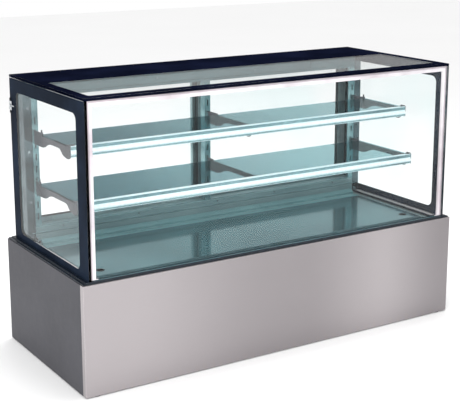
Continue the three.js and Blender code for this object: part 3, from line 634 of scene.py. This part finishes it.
def wire_guard():
    """Fan guard: rings of wire on four spokes."""
    recipe = Recipe("wire_guard", Reach=0.06, Rings=6, Wire_radius=0.001)
    reach, count, wire = recipe.size("Reach"), recipe.size("Rings"), recipe.size("Wire radius")
    profile = recipe.shape("CurvePrimitiveCircle", "RADIUS", Resolution=6, Radius=wire)
    ring = recipe.shape("CurvePrimitiveCircle", "RADIUS", Resolution=36, Radius=1.0)
    steps = recipe.shape("MeshLine", Count=count, Offset=(0, 0, 0))
    scale = (recipe.shape("InputIndex") + 1.0) / count * reach
    rings = recipe.shape("InstanceOnPoints", Points=steps, Instance=ring, Scale=scale)
    hoops = recipe.swept(recipe.shape("RealizeInstances", Geometry=rings), profile, True)
    spokes = []
    for turn in (pi / 4, 3 * pi / 4):
        bar = recipe.shape("MeshCylinder", Vertices=6, Radius=wire, Depth=reach * 2.08)
        spokes.append(recipe.raised(bar, wire * 1.8, (pi / 2, 0, turn)))
    return recipe.close(recipe.repeated(recipe.joined(hoops, *spokes)))


def return_bend():
    """Half-round tube bend that joins two passes of a coil."""
    recipe = Recipe("return_bend", Bend_radius=0.012, Tube_radius=0.0045)
    bend = recipe.shape(
        "CurveArc", "RADIUS", Resolution=12, Radius=recipe.size("Bend radius"),
        Start_Angle=0.0, Sweep_Angle=pi,
    )
    tube = recipe.shape(
        "CurvePrimitiveCircle", "RADIUS", Resolution=10, Radius=recipe.size("Tube radius")
    )
    swept = recipe.swept(bend, tube, True)
    return recipe.close(recipe.repeated(recipe.raised(swept, turn=(pi / 2, 0, 0))))


def bristle_strip():
    """Short bristles in a row of tufts, leaning by a small seeded amount."""
    recipe = Recipe("bristle_strip", Length=0.006, Thickness=0.0007, Seed=3)
    length, thick = recipe.size("Length"), recipe.size("Thickness")
    tuft = recipe.shape(
        "MeshCone", Vertices=4, Radius_Top=thick * 0.5, Radius_Bottom=thick, Depth=length
    )
    sway = 0.12
    lean = recipe.add(
        "FunctionNodeRandomValue", {"data_type": "FLOAT_VECTOR"},
        {"Min": (-sway, -sway, 0), "Max": (sway, sway, 0), "Seed": recipe.size("Seed")},
    )
    return recipe.close(
        recipe.shape("RotateInstances", Instances=recipe.repeated(tuft), Rotation=lean)
    )


SCREW = cross_head_screw()
NUT = hex_nut()
LOUVRE = pressed_louvre()
GUARD = wire_guard()
BEND = return_bend()
BRISTLES = bristle_strip()


# ---- Finishes of the CAD nodes ---------------------------------------------------------------

NODE_FINISHES = {
    "front": ("front_panel",),
    "side": ("side_panel_left", "side_panel_right"),
    "rear": ("rear_panel",),
    "frame": ("base_frame", "fan_baffle", "condenser_shroud", "drain_pan", "control_box"),
    "foot": ("foot_front_left", "foot_front_right", "foot_rear_left", "foot_rear_right"),
    "rim": ("plinth_rim",),
    "well": ("cold_well",),
    "deck": ("deck_panel_left", "deck_panel_right"),
    "grille": ("front_air_grille",),
    "duct": ("rear_duct_cover",),
    "glass": ("side_glass_left", "side_glass_right", "front_glass_outer", "front_glass_inner"),
    "top_glass": ("top_glass",),
    "spacer": ("front_glass_spacer",),
    "post": ("rear_post_left", "rear_post_right"),
    "standard": ("shelf_standard_left", "shelf_standard_right", "centre_post"),
    "header": ("header_beam",),
    "track": ("door_track_top", "door_sill"),
    "door": ("door_frame_left", "door_frame_right"),
    "door_glass": ("door_glass_left", "door_glass_right"),
    "shelf": ("top_shelf_glass", "middle_shelf_glass"),
    "rail": ("top_light_rail", "middle_light_rail"),
    "bracket": [f"{shelf}_bracket_{place}" for shelf in SHELVES for place in ("left", "centre", "right")],
    "black": ("evaporator_fan_left", "evaporator_fan_right", "condenser_fan", "thermostat",
              "power_rocker", "light_rocker", "mains_gland"),
    "shell": ("compressor",),
    "fins": ("evaporator_coil", "condenser_coil"),
    "copper": ("suction_pipe", "liquid_pipe"),
}
SOFTENED = {  # width of the eased edge
    0.0014: ("front_panel",),
    0.0012: ("rear_post_left", "rear_post_right", "door_frame_left", "door_frame_right"),
    0.0010: ("header_beam",),
    0.0008: ("plinth_rim", "side_glass_left", "side_glass_right", "top_glass", "thermostat"),
    0.0007: ("side_panel_left", "side_panel_right", "top_light_rail", "middle_light_rail",
             "top_shelf_glass", "middle_shelf_glass"),
    0.0006: ("deck_panel_left", "deck_panel_right", "control_box", "power_rocker", "light_rocker"),
}
eases = {node: width for width, nodes in SOFTENED.items() for node in nodes}
for finish, nodes in NODE_FINISHES.items():
    for node in nodes:
        dress(node, finish, eases.get(node, 0.0))


# ---- Glass house -----------------------------------------------------------------------------

HAIR = 0.00004  # clearance of a thin layer from what it lies on
LAYER = 0.00012  # thickness of fired enamel
MARGIN = 0.0015  # bare glass left round a fired border


def side_borders():
    foot, head = 0.478, 1.070
    for place, side in SIDES.items():
        low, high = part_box(f"side_glass_{place}")
        face = low.x - HAIR - LAYER if side < 0 else high.x + HAIR

        @shaped(f"side_glass_border_{place}", "border")
        def border(shape):
            outer = round_box((low.y, low.z), (high.y, high.z), 0.002, inset=MARGIN)
            opening = round_box((low.y + 0.077, foot), (high.y - 0.064, head), 0.028)
            add_border(shape, outer, opening, face, LAYER, "x")


def top_border():
    low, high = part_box("top_glass")

    @shaped("top_glass_border", "border_top")
    def border(shape):
        outer = round_box((low.x, low.y), (high.x, high.y), 0.002, inset=MARGIN)
        opening = round_box((low.x + 0.042, low.y + 0.052), (high.x - 0.042, high.y - 0.300), 0.008)
        add_border(shape, outer, opening, high.z + HAIR, LAYER, "z")
        skirt = [
            round_box((low.x, low.y), (high.x, high.y), 0.001, inset=-gap)
            for gap in (HAIR + LAYER, HAIR)
        ]
        add_border(shape, *skirt, low.z + 0.0004, high.z - low.z - 0.0006, "z")


def front_glazing():
    """Rubber beads that seal the foot of the front panes to the rim, outside and inside."""
    outer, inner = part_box("front_glass_outer")[0].y - HAIR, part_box("front_glass_inner")[1].y + HAIR
    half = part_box("front_glass_outer")[1].x

    @shaped("front_glazing_beads", "rim")
    def beads(shape):
        section = [(0, 0.4464), (-0.0015, 0.4464), (-0.0019, 0.4520), (-0.0011, 0.4532), (0, 0.4536)]
        add_run(shape, [(outer + y, z) for y, z in section], -half, half)
        section = [(0, 0.4521), (0.0012, 0.4521), (0.0012, 0.4528), (0, 0.4534)]
        add_run(shape, [(inner + y, z) for y, z in section], -half + 0.001, half - 0.001)


def front_spacer_faces():
    """The spacer bar's sealed outer lip, its joint in the top run and the flared keys at its feet."""
    low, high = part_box("front_glass_spacer")

    @shaped("spacer_sealed_lip", "spacer_edge")
    def lip(shape):
        outer = round_box((low.x, low.z), (high.x, high.z), 0.001, 2, 0.0004)
        inner = round_box((low.x + 0.007, low.z + 0.003), (high.x - 0.007, high.z - 0.008), 0.001, 2)
        add_border(shape, outer, inner, low.y - 0.0002, 0.00016, "y")

    @shaped("spacer_corner_keys", "spacer")
    def keys(shape):
        x, y, foot = high.x, low.y, low.z + SPACER_FOOT
        add_pair(shape, (x - 0.030, y, low.z + 0.0052), (x - 0.019, high.y, foot), 0.0006)
        add_pair(shape, (x - 0.024, y - 0.0001, foot), (x - 0.0002, y + 0.0003, low.z + 0.011))
        add_block(shape, (-0.298, y - 0.0001, high.z - 0.0222), (-0.290, high.y, high.z - 0.0004))


def foot_trims():
    """Bright angle along the foot of each side glass, inside."""
    rim_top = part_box("plinth_rim")[1].z
    front, rear = -0.330, 0.232

    @shaped("side_glass_foot_trims", "trim")
    def trims(shape):
        section = [(0.8285, 0.0001), (0.8370, 0.0001), (0.8370, 0.0030), (0.8358, 0.0036),
                   (0.8297, 0.0036), (0.8285, 0.0030)]
        for side in (-1, 1):
            add_run(shape, [(side * x, rim_top + z) for x, z in section], front, rear, "y")

    @shaped("post_foot_clips", "chrome")
    def clips(shape):
        near, sole = rear - 0.022, rim_top + 0.0028
        add_pair(shape, (0.822, near, sole), (0.846, rear, rim_top + 0.0048), 0.0006)
        add_pair(shape, (0.822, near, sole), (0.8245, rear, rim_top + 0.019), 0.0006)


def glass_clamps():
    """Chrome fork on the rear edge of each side glass, with its tie bar and black washers."""
    low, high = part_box("side_glass_left")
    rear, inner, outer = high.y, -high.x, -low.x
    middle = 1.009

    @shaped("glass_clamps", "chrome")
    def clamps(shape):
        foot, head, far = middle - 0.019, middle + 0.019, rear + 0.0036
        add_pair(shape, (outer + 0.0006, rear - 0.022, foot), (outer + 0.0036, far, head), 0.0012)
        add_pair(shape, (inner - 0.0006, rear + 0.0006, foot), (outer + 0.0036, far, head), 0.0012)
        tie_low, tie_high = (outer + 0.0006, rear - 0.046), (outer + 0.0026, rear - 0.020)
        add_pair(shape, (*tie_low, middle - 0.0025), (*tie_high, middle + 0.0025), 0.0008)
        for side in (-1, 1):
            centre = (side * (outer + 0.0052), rear - 0.012, middle)
            add_rod(shape, centre, 0.0075, 0.0034, "x", 24, 0.0012)

    @shaped("glass_clamp_washers", "rubber")
    def washers(shape):
        for side in (-1, 1):
            for z in (middle - 0.0255, middle + 0.0255):
                centre = (side * (outer + 0.0022), rear - 0.008, z)
                add_rod(shape, centre, 0.0062, 0.0032, "x", 20, 0.0008)
                centre = (side * (outer + 0.0040), rear - 0.008, z)
                add_rod(shape, centre, 0.0030, 0.0016, "x", 16)


def silicone_beads():
    """Three-cornered beads where the panes meet inside the case."""
    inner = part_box("side_glass_right")[0].x
    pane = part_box("front_glass_inner")[1].y
    foot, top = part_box("plinth_rim")[1].z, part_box("top_glass")[0].z - 0.0006
    leg, rear = 0.0045, 0.233

    @shaped("silicone_beads", "silicone")
    def beads(shape):
        start, end = pane + HAIR, pane + leg
        for side in (-1, 1):
            x, toe = side * (inner - 0.0006), side * leg
            bead = [(x, start), (x - toe, start), (x - toe * 0.45, pane + leg * 0.4), (x, end)]
            add_run(shape, bead, foot + 0.001, top - 0.001, "z")
            bead = [(x, top), (x - toe, top), (x - toe * 0.4, top - leg * 0.45), (x, top - leg)]
            add_run(shape, bead, end, rear, "y")
        bead = [(start, top), (end, top), (pane + leg * 0.4, top - leg * 0.45), (start, top - leg)]
        add_run(shape, bead, -inner + 0.006, inner - 0.006)


side_borders()
top_border()
front_glazing()
front_spacer_faces()
foot_trims()
glass_clamps()
silicone_beads()


# ---- Shelves ---------------------------------------------------------------------------------

BRACKET_X = 0.8135  # middle of the outer brackets
STANDARD_FACE = 0.235  # front of the slotted standards


def rail_run(name, finish, shelf, section, short):
    """A bead or lens along a shelf's light rail, given from its front and the shelf's top."""
    rail_low, rail_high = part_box(f"{shelf}_light_rail")
    front, top = rail_low.y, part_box(f"{shelf}_shelf_glass")[1].z

    @shaped(f"{shelf}_{name}", finish, f"{shelf}_shelf")
    def run(shape):
        points = [(front + y, top + z) for y, z in section]
        add_run(shape, points, -rail_high.x + short, rail_high.x - short)


def shelf_fittings(shelf):
    rail_low, rail_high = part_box(f"{shelf}_light_rail")
    _, glass_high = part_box(f"{shelf}_shelf_glass")
    front, rear, top = rail_low.y, glass_high.y, glass_high.z
    half = rail_high.x

    section = [(0.0065, -0.0095), (0.0065, -0.0375)] + arc((0.0065, -0.0235), 0.0125, -80, 80, 10)
    rail_run("lamp_cover", "lamp", shelf, section, 0.004)
    # cornice: its teal is painted shade along the top of the rail
    section = arc((-0.0002, -0.0042), 0.0024, 100, 260, 6) + arc((-0.0002, -0.0104), 0.0016, 100, 260, 6)
    rail_run("rail_cornice", "rail_band", shelf, [(-HAIR, -0.0010), *section, (-HAIR, -0.0136)], 0.0005)
    section = [(-HAIR, -0.0148), *arc((0.0030, -0.0262), 0.0072, 118, 242, 8), (-HAIR, -0.0376)]
    rail_run("rail_lens", "lamp", shelf, section, 0.0005)
    # underlip: its teal is painted shade along the foot of the rail
    section = [(-0.0020, -0.0334), (-0.0008, -0.0344), (-HAIR, -0.0384),
               (-0.0010, -0.0396), (-0.0034, -0.0384), (-0.0036, -0.0344)]
    rail_run("rail_underlip", "rail_band", shelf, section, 0.0005)

    @shaped(f"{shelf}_rail_end_caps", "bracket", f"{shelf}_shelf")
    def caps(shape):
        for x0, y0, z0, x1, y1, z1, ease in (
            (0.0002, -0.0006, -0.0435, 0.0026, 0.0155, 0.0028, 0.0010),
            (-0.020, 0.003, 0.0026, 0.0024, 0.0155, 0.0062, 0.0012),
            (0.0002, 0.0155, -0.0110, 0.0030, 0.0300, 0.0058, 0.0010),
        ):
            corner = (half + x1, front + y1, top + z1)
            add_pair(shape, (half + x0, front + y0, top + z0), corner, ease)

    @shaped(f"{shelf}_bracket_stops", "bracket")
    def stops(shape):
        near, far, lift = rear + 0.0005, rear + 0.0125, 0.010
        for x0, x1 in ((-0.0042, -0.0022), (0.0022, 0.0042)):
            low = (BRACKET_X + x0, near, top - 0.052)
            add_pair(shape, low, (BRACKET_X + x1, far, top + 0.004), 0.0008)
        low = (BRACKET_X - 0.0042, near, top + 0.0044)
        add_pair(shape, low, (BRACKET_X + 0.0042, far, top + 0.0062), 0.0008)
        for x in (-BRACKET_X, BRACKET_X):
            centre = (x, near + 0.006, top + 0.0062 + lift / 2)
            add_rod(shape, centre, 0.0032, lift, "z", 16, 0.0008)

    @shaped(f"{shelf}_glass_pads", "rubber")
    def pads(shape):
        for x in (-BRACKET_X, 0.0, BRACKET_X):
            for y in (front + 0.045, rear - 0.030):
                add_rod(shape, (x, y, top - 0.00615), 0.0055, 0.0002, "z", 20)

    @shaped(f"{shelf}_bracket_shoes", "standard")
    def shoes(shape):
        for x in (-BRACKET_X, 0.0, BRACKET_X):
            for z in (top - 0.046, top - 0.010):
                for x0, x1 in ((x - 0.0045, x - 0.0018), (x + 0.0018, x + 0.0045)):
                    low = (x0, STANDARD_FACE - 0.0065, z - 0.006)
                    add_block(shape, low, (x1, STANDARD_FACE, z + 0.006), 0.0006)


for shelf in SHELVES:
    shelf_fittings(shelf)


# ---- Deck ------------------------------------------------------------------------------------


def deck_fittings():
    hole_x, hole_y = 0.755, -0.215
    for place, side in SIDES.items():
        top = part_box(f"deck_panel_{place}")[1].z

        @shaped(f"finger_hole_ring_{place}", "rubber", f"deck_{place}")
        def ring(shape):
            outer, inner, throat = [
                circle((side * hole_x, hole_y), radius, 48) for radius in (0.0165, 0.0125, 0.0116)
            ]
            add_border(shape, outer, inner, top + HAIR, 0.0009, "z")
            add_border(shape, inner, throat, top - 0.0028, 0.0036, "z")

    low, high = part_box("front_air_grille")

    @shaped("air_grille_ribs", "grille")
    def ribs(shape):
        count, edge = 4, 0.004
        for i in range(count):
            y = low.y + edge + (high.y - low.y - 2 * edge) * i / (count - 1)
            section = arc((y, high.z + HAIR), 0.0026, 0, 180, 8)
            add_run(shape, section, low.x + 0.003, high.x - 0.003)

    duct_low, duct_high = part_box("rear_duct_cover")

    @shaped("duct_cover_bead", "duct")
    def bead(shape):
        section = arc((duct_low.y + 0.006, 0.4407), 0.0030, 0, 180, 8)
        add_run(shape, section, duct_low.x + 0.002, duct_high.x - 0.002)


deck_fittings()


# ---- Rear frame and doors --------------------------------------------------------------------


def rear_frame_fittings():
    low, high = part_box("door_sill")

    @shaped("sill_runners", "standard")
    def runners(shape):
        for section in (
            arc((low.y + 0.006, high.z + HAIR), 0.0034, 0, 180, 8),
            arc((low.y - HAIR, 0.4865), 0.0026, 90, 270, 8),
        ):
            add_run(shape, section, low.x + 0.001, high.x - 0.001)

    @shaped("slotted_channel_backs", "post")
    def backs(shape):
        for node in NODE_FINISHES["standard"]:
            a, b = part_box(node)
            foot, head = a.z + 0.002, b.z - 0.002
            corner = (b.x - 0.0018, b.y - 0.0015, head)
            add_block(shape, (a.x + 0.0018, b.y - 0.004, foot), corner, 0.0005)
            corner = (b.x - 0.0024, a.y + 0.0060, head)
            add_block(shape, (a.x + 0.0024, a.y + 0.0048, foot), corner, 0.0003)

    header_low, header_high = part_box("header_beam")

    @shaped("header_cover_strip", "header")
    def strip(shape):
        y, cap = header_low.y, 0.560
        section = [(y - 0.0001, 1.052), (y - 0.0026, 1.0535), (y - 0.0026, 1.0575), (y - 0.0001, 1.059)]
        add_run(shape, section, header_low.x + 0.001, header_high.x - 0.001)
        add_block(shape, (cap, y - 0.0035, 1.062), (cap + 0.150, y - 0.0003, 1.094), 0.0012)


def door_fittings(place):
    low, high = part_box(f"door_frame_{place}")
    body, side, stile = f"door_{place}", SIDES[place], 0.045

    @shaped(f"door_gasket_{place}", "rubber", body)
    def gasket(shape):
        opening = (low.x + stile, low.z + stile), (high.x - stile, high.z - stile)
        for y in (low.y + 0.0004, high.y - 0.0028):
            outer = round_box(*opening, 0.002, 3, 0.0002)
            inner = round_box(*opening, 0.004, 3, 0.004)
            add_border(shape, outer, inner, y, 0.0024, "y")

    @shaped(f"door_pull_rim_{place}", "chrome", body)
    def cup(shape):
        edge = abs(low.x if side < 0 else high.x)
        x0, x1 = sorted((side * (edge - 0.028), side * (edge - 0.006)))
        z = (low.z + high.z) / 2
        outer = round_box((x0 - 0.004, z - 0.069), (x1 + 0.004, z + 0.069), 0.006)
        inner = round_box((x0 + 0.0012, z - 0.0638), (x1 - 0.0012, z + 0.0638), 0.004)
        shell = round_box((x0 + 0.0002, z - 0.0648), (x1 - 0.0002, z + 0.0648), 0.0045)
        add_border(shape, outer, inner, high.y + HAIR, 0.0012, "y")
        add_border(shape, shell, inner, high.y - 0.0095, 0.0095, "y")

    meeting, face, way = (high.x, high.y, 1) if side < 0 else (low.x, low.y, -1)
    rows, tufts, edge = 2, 150, 0.006
    points = []
    for row in range(rows):
        for i in range(tufts):
            z = low.z + edge + (high.z - low.z - 2 * edge) * i / (tufts - 1)
            x = meeting + side * (0.006 + 0.003 * row)
            points.append(((x, face + way * 0.0021, z), (0, way, 0)))
    sizes = {"Length": 0.0040, "Thickness": 0.0008, "Seed": 4}
    grow(f"door_brush_{place}", BRISTLES, points, "rubber", "black_plastic", body, **sizes)

    @shaped(f"door_top_guides_{place}", "black", body)
    def guides(shape):
        for x in (low.x + 0.09, high.x - 0.09):
            corner = (x + 0.022, high.y - 0.0035, high.z + 0.0045)
            add_block(shape, (x - 0.022, low.y + 0.0035, high.z - 0.0001), corner, 0.0012)


def screws(name, places, way, radius, slot="polished_steel", height=0.0019):
    """Screws at the places, their heads towards the front, way -1, or the back, way 1."""
    points = [(place, (0, way, 0)) for place in places]
    grow(name, SCREW, points, "screw", slot, Head_radius=radius, Head_height=height)


rear_frame_fittings()
for place in SIDES:
    door_fittings(place)
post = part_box("rear_post_left")[0]
for place, side in SIDES.items():
    x = side * (-post.x - 0.018)
    places = [(x, post.y, z) for z in (0.476, 0.62, 0.83, 1.010, 1.085)]
    screws(f"post_face_screws_{place}", places, -1, 0.0052, height=0.0028)
sill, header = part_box("door_sill")[0].y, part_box("header_beam")[0].y
screws("sill_screws", [(x, sill, 0.503) for x in (-0.70, -0.35, 0.05, 0.36, 0.70)], -1, 0.0036)
screws("header_screws", [(x, header, 1.078) for x in (-0.70, -0.25, 0.25, 0.60, 0.67)], -1, 0.0034)


# ---- Base ------------------------------------------------------------------------------------


def base_fittings():
    low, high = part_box("rear_panel")
    heights = (low.z + 0.02, high.z - 0.018)
    places = [(x, high.y, z) for x in (-0.86, -0.43, 0.0, 0.43, 0.86) for z in heights]
    screws("rear_panel_screws", places, 1, 0.0055, "stainless", 0.0024)
    low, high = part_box("control_box")
    inset = 0.004
    heights = (low.z + inset, high.z - inset)
    places = [(x, high.y, z) for x in (low.x + inset, high.x - inset) for z in heights]
    screws("control_plate_screws", places, 1, 0.0028, "stainless", 0.0014)
    feet = [(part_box(node)[0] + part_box(node)[1]) / 2 for node in NODE_FINISHES["foot"]]
    points = [((foot.x, foot.y, 0.0285), (0, 0, 1)) for foot in feet]
    sizes = {"Across": 0.0105, "Thickness": 0.006}
    grow("foot_lock_nuts", NUT, points, "screw", "galvanised_steel", **sizes)

    @shaped("foot_rubber_rings", "rubber")
    def rings(shape):
        section, steps = [(0.0152, 0.0005), (0.0172, 0.0005), (0.0172, 0.0032), (0.0152, 0.0042)], 28
        for foot in feet:
            loops = []
            for turn in [2 * pi * step / steps for step in range(steps)]:
                loops.append([
                    shape.verts.new((foot.x + r * cos(turn), foot.y + r * sin(turn), z))
                    for r, z in section
                ])
            for i, loop in enumerate(loops):
                add_skin(shape, loop, loops[(i + 1) % steps])


def louvre_hoods():
    """A hood above each slot of the machine space's vent, turned so that it sheds drips."""
    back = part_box("rear_panel")[1].y
    first, pitch, count = 0.0965, 0.018, 8
    points = [((0.425, back, first + i * pitch), (0, 0, 1)) for i in range(count)]
    grow("vent_hoods", LOUVRE, points, "rear", "stainless", Length=0.356, Reach=0.0062)


def controls():
    low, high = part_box("thermostat")
    face, plate = high.y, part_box("control_box")[1].y

    @shaped("display_window", "display")
    def window(shape):
        outline = round_box((low.x + 0.006, low.z + 0.008), (low.x + 0.046, high.z - 0.006), 0.002, 3)
        add_run(shape, outline, face + HAIR, face + 0.0008, "y")

    @shaped("display_digits", "lamp")
    def digits(shape):
        y, stroke, wide, tall = face + 0.0009, 0.0011, 0.0062, 0.0058
        bars = {
            "a": (0, tall, wide, stroke), "g": (0, 0, wide, stroke), "d": (0, -tall, wide, stroke),
            "b": (-wide / 2, tall / 2, stroke, tall), "c": (-wide / 2, -tall / 2, stroke, tall),
            "e": (wide / 2, -tall / 2, stroke, tall), "f": (wide / 2, tall / 2, stroke, tall),
        }
        for digit, lit in enumerate(("bcfg", "abged")):
            for bar in lit:
                x, z, w, h = bars[bar]
                x += low.x + 0.030 - digit * 0.0115 + 0.006
                z += (low.z + high.z) / 2
                corner = (x + w / 2, y + 0.0002, z + h / 2)
                add_block(shape, (x - w / 2, y, z - h / 2), corner)

    @shaped("membrane_keys", "key")
    def keys(shape):
        for x in (high.x - 0.018, high.x - 0.0085):
            for z in (low.z + 0.0125, low.z + 0.0225):
                corner = (x + 0.0036, face + 0.0011, z + 0.0034)
                add_block(shape, (x - 0.0036, face + HAIR, z - 0.0034), corner, 0.0009)

    @shaped("rocker_bezels", "black")
    def bezels(shape):
        for node in ("power_rocker", "light_rocker"):
            a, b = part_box(node)
            x, z = (a.x + b.x) / 2, 0.347
            outer = round_box((x - 0.0098, z - 0.0140), (x + 0.0098, z + 0.0140), 0.0022, 4)
            inner = round_box((x - 0.0071, z - 0.0109), (x + 0.0071, z + 0.0109), 0.0008, 4)
            add_border(shape, outer, inner, plate + HAIR, 0.0018, "y")

    gland_low, gland_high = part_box("mains_gland")

    @shaped("gland_lips", "rubber")
    def lips(shape):
        centre = (gland_low.x + gland_high.x) / 2, (gland_low.z + gland_high.z) / 2
        for i in range(3):
            y = gland_high.y - 0.001 + 0.0015 * i
            outer, inner = circle(centre, 0.0102 - 0.0012 * i, 36), circle(centre, 0.0048, 36)
            add_border(shape, outer, inner, y, 0.0013, "y")


def guard(name, fan, mount, gap, **sizes):
    """A wire guard in front of a fan, held on the sheet that the fan is mounted in."""
    low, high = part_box(fan)
    middle = (low + high) / 2
    points = [((middle.x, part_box(mount)[0].y - gap, middle.z), (0, -1, 0))]
    grow(name, GUARD, points, "chrome", "polished_steel", **sizes)


def cooling_fittings():
    sizes = {"Reach": 0.060, "Rings": 7, "Wire_radius": 0.0009}
    for place in SIDES:
        guard(f"evaporator_guard_{place}", f"evaporator_fan_{place}", "fan_baffle", 0.0012, **sizes)
    sizes = {"Reach": 0.072, "Rings": 8, "Wire_radius": 0.001}
    guard("condenser_guard", "condenser_fan", "condenser_shroud", 0.0014, **sizes)
    sizes = {"Bend_radius": 0.0075, "Tube_radius": 0.003}
    for name, rows in (("evaporator_coil", 4), ("condenser_coil", 6)):
        low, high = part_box(name)
        points = [
            ((x, y, low.z + (high.z - low.z) * (row + 0.5) / rows), (way, 0, 0))
            for row in range(rows)
            for x, way in ((low.x - 0.0002, -1), (high.x + 0.0002, 1))
            for y in (low.y + 0.016, high.y - 0.014)
        ]
        grow(f"{name}_bends", BEND, points, "copper", "copper", **sizes)

    low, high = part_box("compressor")
    middle = (low + high) / 2

    @shaped("compressor_fittings", "shell")
    def fittings(shape):
        bolts = 0.060
        for turn in [radians(45 + 90 * quarter) for quarter in range(4)]:
            x, y = middle.x + bolts * cos(turn), middle.y + bolts * sin(turn)
            add_rod(shape, (x, y, low.z + 0.0145), 0.007, 0.004, "z", 16, 0.001)
        corner = (middle.x + 0.024, low.y - 0.0008, low.z + 0.105)
        add_block(shape, (middle.x - 0.024, low.y - 0.020, low.z + 0.060), corner, 0.003)
        outer, inner = [circle((middle.x, middle.y), radius, 36) for radius in (0.0785, 0.0764)]
        add_border(shape, outer, inner, low.z + 0.080, 0.006, "z")


base_fittings()
louvre_hoods()
controls()
cooling_fittings()


# ---- Studio ----------------------------------------------------------------------------------


def studio_floor():
    mesh = bpy.data.meshes.new("studio_floor")
    reach = 14.0
    corners = [(-reach, -reach, 0), (reach, -reach, 0), (reach, reach, 0), (-reach, reach, 0)]
    mesh.from_pydata(corners, [], [(0, 1, 2, 3)])
    floor = bpy.data.objects.new("studio_floor", mesh)
    finish = Finish("studio_floor_pale", Roughness=0.7)
    drift = finish.noise(0.6, 2)
    finish.drive(Base_Color=finish.blend(drift, tone(250, 250, 250), tone(254, 254, 254)))
    mesh.materials.append(finish.material)
    bpy.context.scene.collection.objects.link(floor)


def studio_lamp(name, place, target, size, power):
    """A softbox that lights the case but doesn't show in its glass and metal."""
    light = bpy.data.lights.new(name, "AREA")
    light.shape = "RECTANGLE"
    light.size, light.size_y = size
    light.energy = power
    lamp = bpy.data.objects.new(name, light)
    lamp.location = place
    lamp.rotation_euler = (Vector(target) - Vector(place)).to_track_quat("-Z", "Y").to_euler()
    bpy.context.scene.collection.objects.link(lamp)
    lamp.visible_glossy = False
    lamp.visible_transmission = False


def studio():
    """A white room that gloss sees a little darker, a floor and two softboxes."""
    world = bpy.data.worlds.new("studio_white")
    world.use_nodes = True
    room = Graph(world.node_tree)
    gloss = room.add("ShaderNodeLightPath", output="Is Glossy Ray")
    strength = room.add("ShaderNodeMapRange", {}, {"Value": gloss, "To Min": 1.0, "To Max": 0.6})
    sky = world.node_tree.nodes["Background"]
    sky.inputs["Color"].default_value = (1.0, 1.0, 1.0, 1.0)
    room.connect(sky.inputs["Strength"], strength)
    bpy.context.scene.world = world
    studio_floor()
    studio_lamp("key_softbox", (-2.6, -3.2, 3.4), (0, 0, 0.5), (2.6, 1.6), 90)
    studio_lamp("top_softbox", (0.4, 0.2, 3.8), (0, 0, 0.4), (3.0, 1.8), 70)
    bpy.context.scene.view_settings.view_transform = "Standard"


def camera():
    """Low three-quarter view of the front and the left end."""
    lens = bpy.data.cameras.new("camera")
    lens.sensor_width = 36
    lens.lens = 88.46
    lens.shift_y = -0.10
    lens.clip_end = 100
    view = bpy.data.objects.new("camera", lens)
    view.location = (-2.5407, -3.9781, 1.7995)
    view.rotation_euler = (radians(90 - 12.81), 0, radians(-32.25))
    bpy.context.scene.collection.objects.link(view)
    bpy.context.scene.camera = view


studio()
camera()
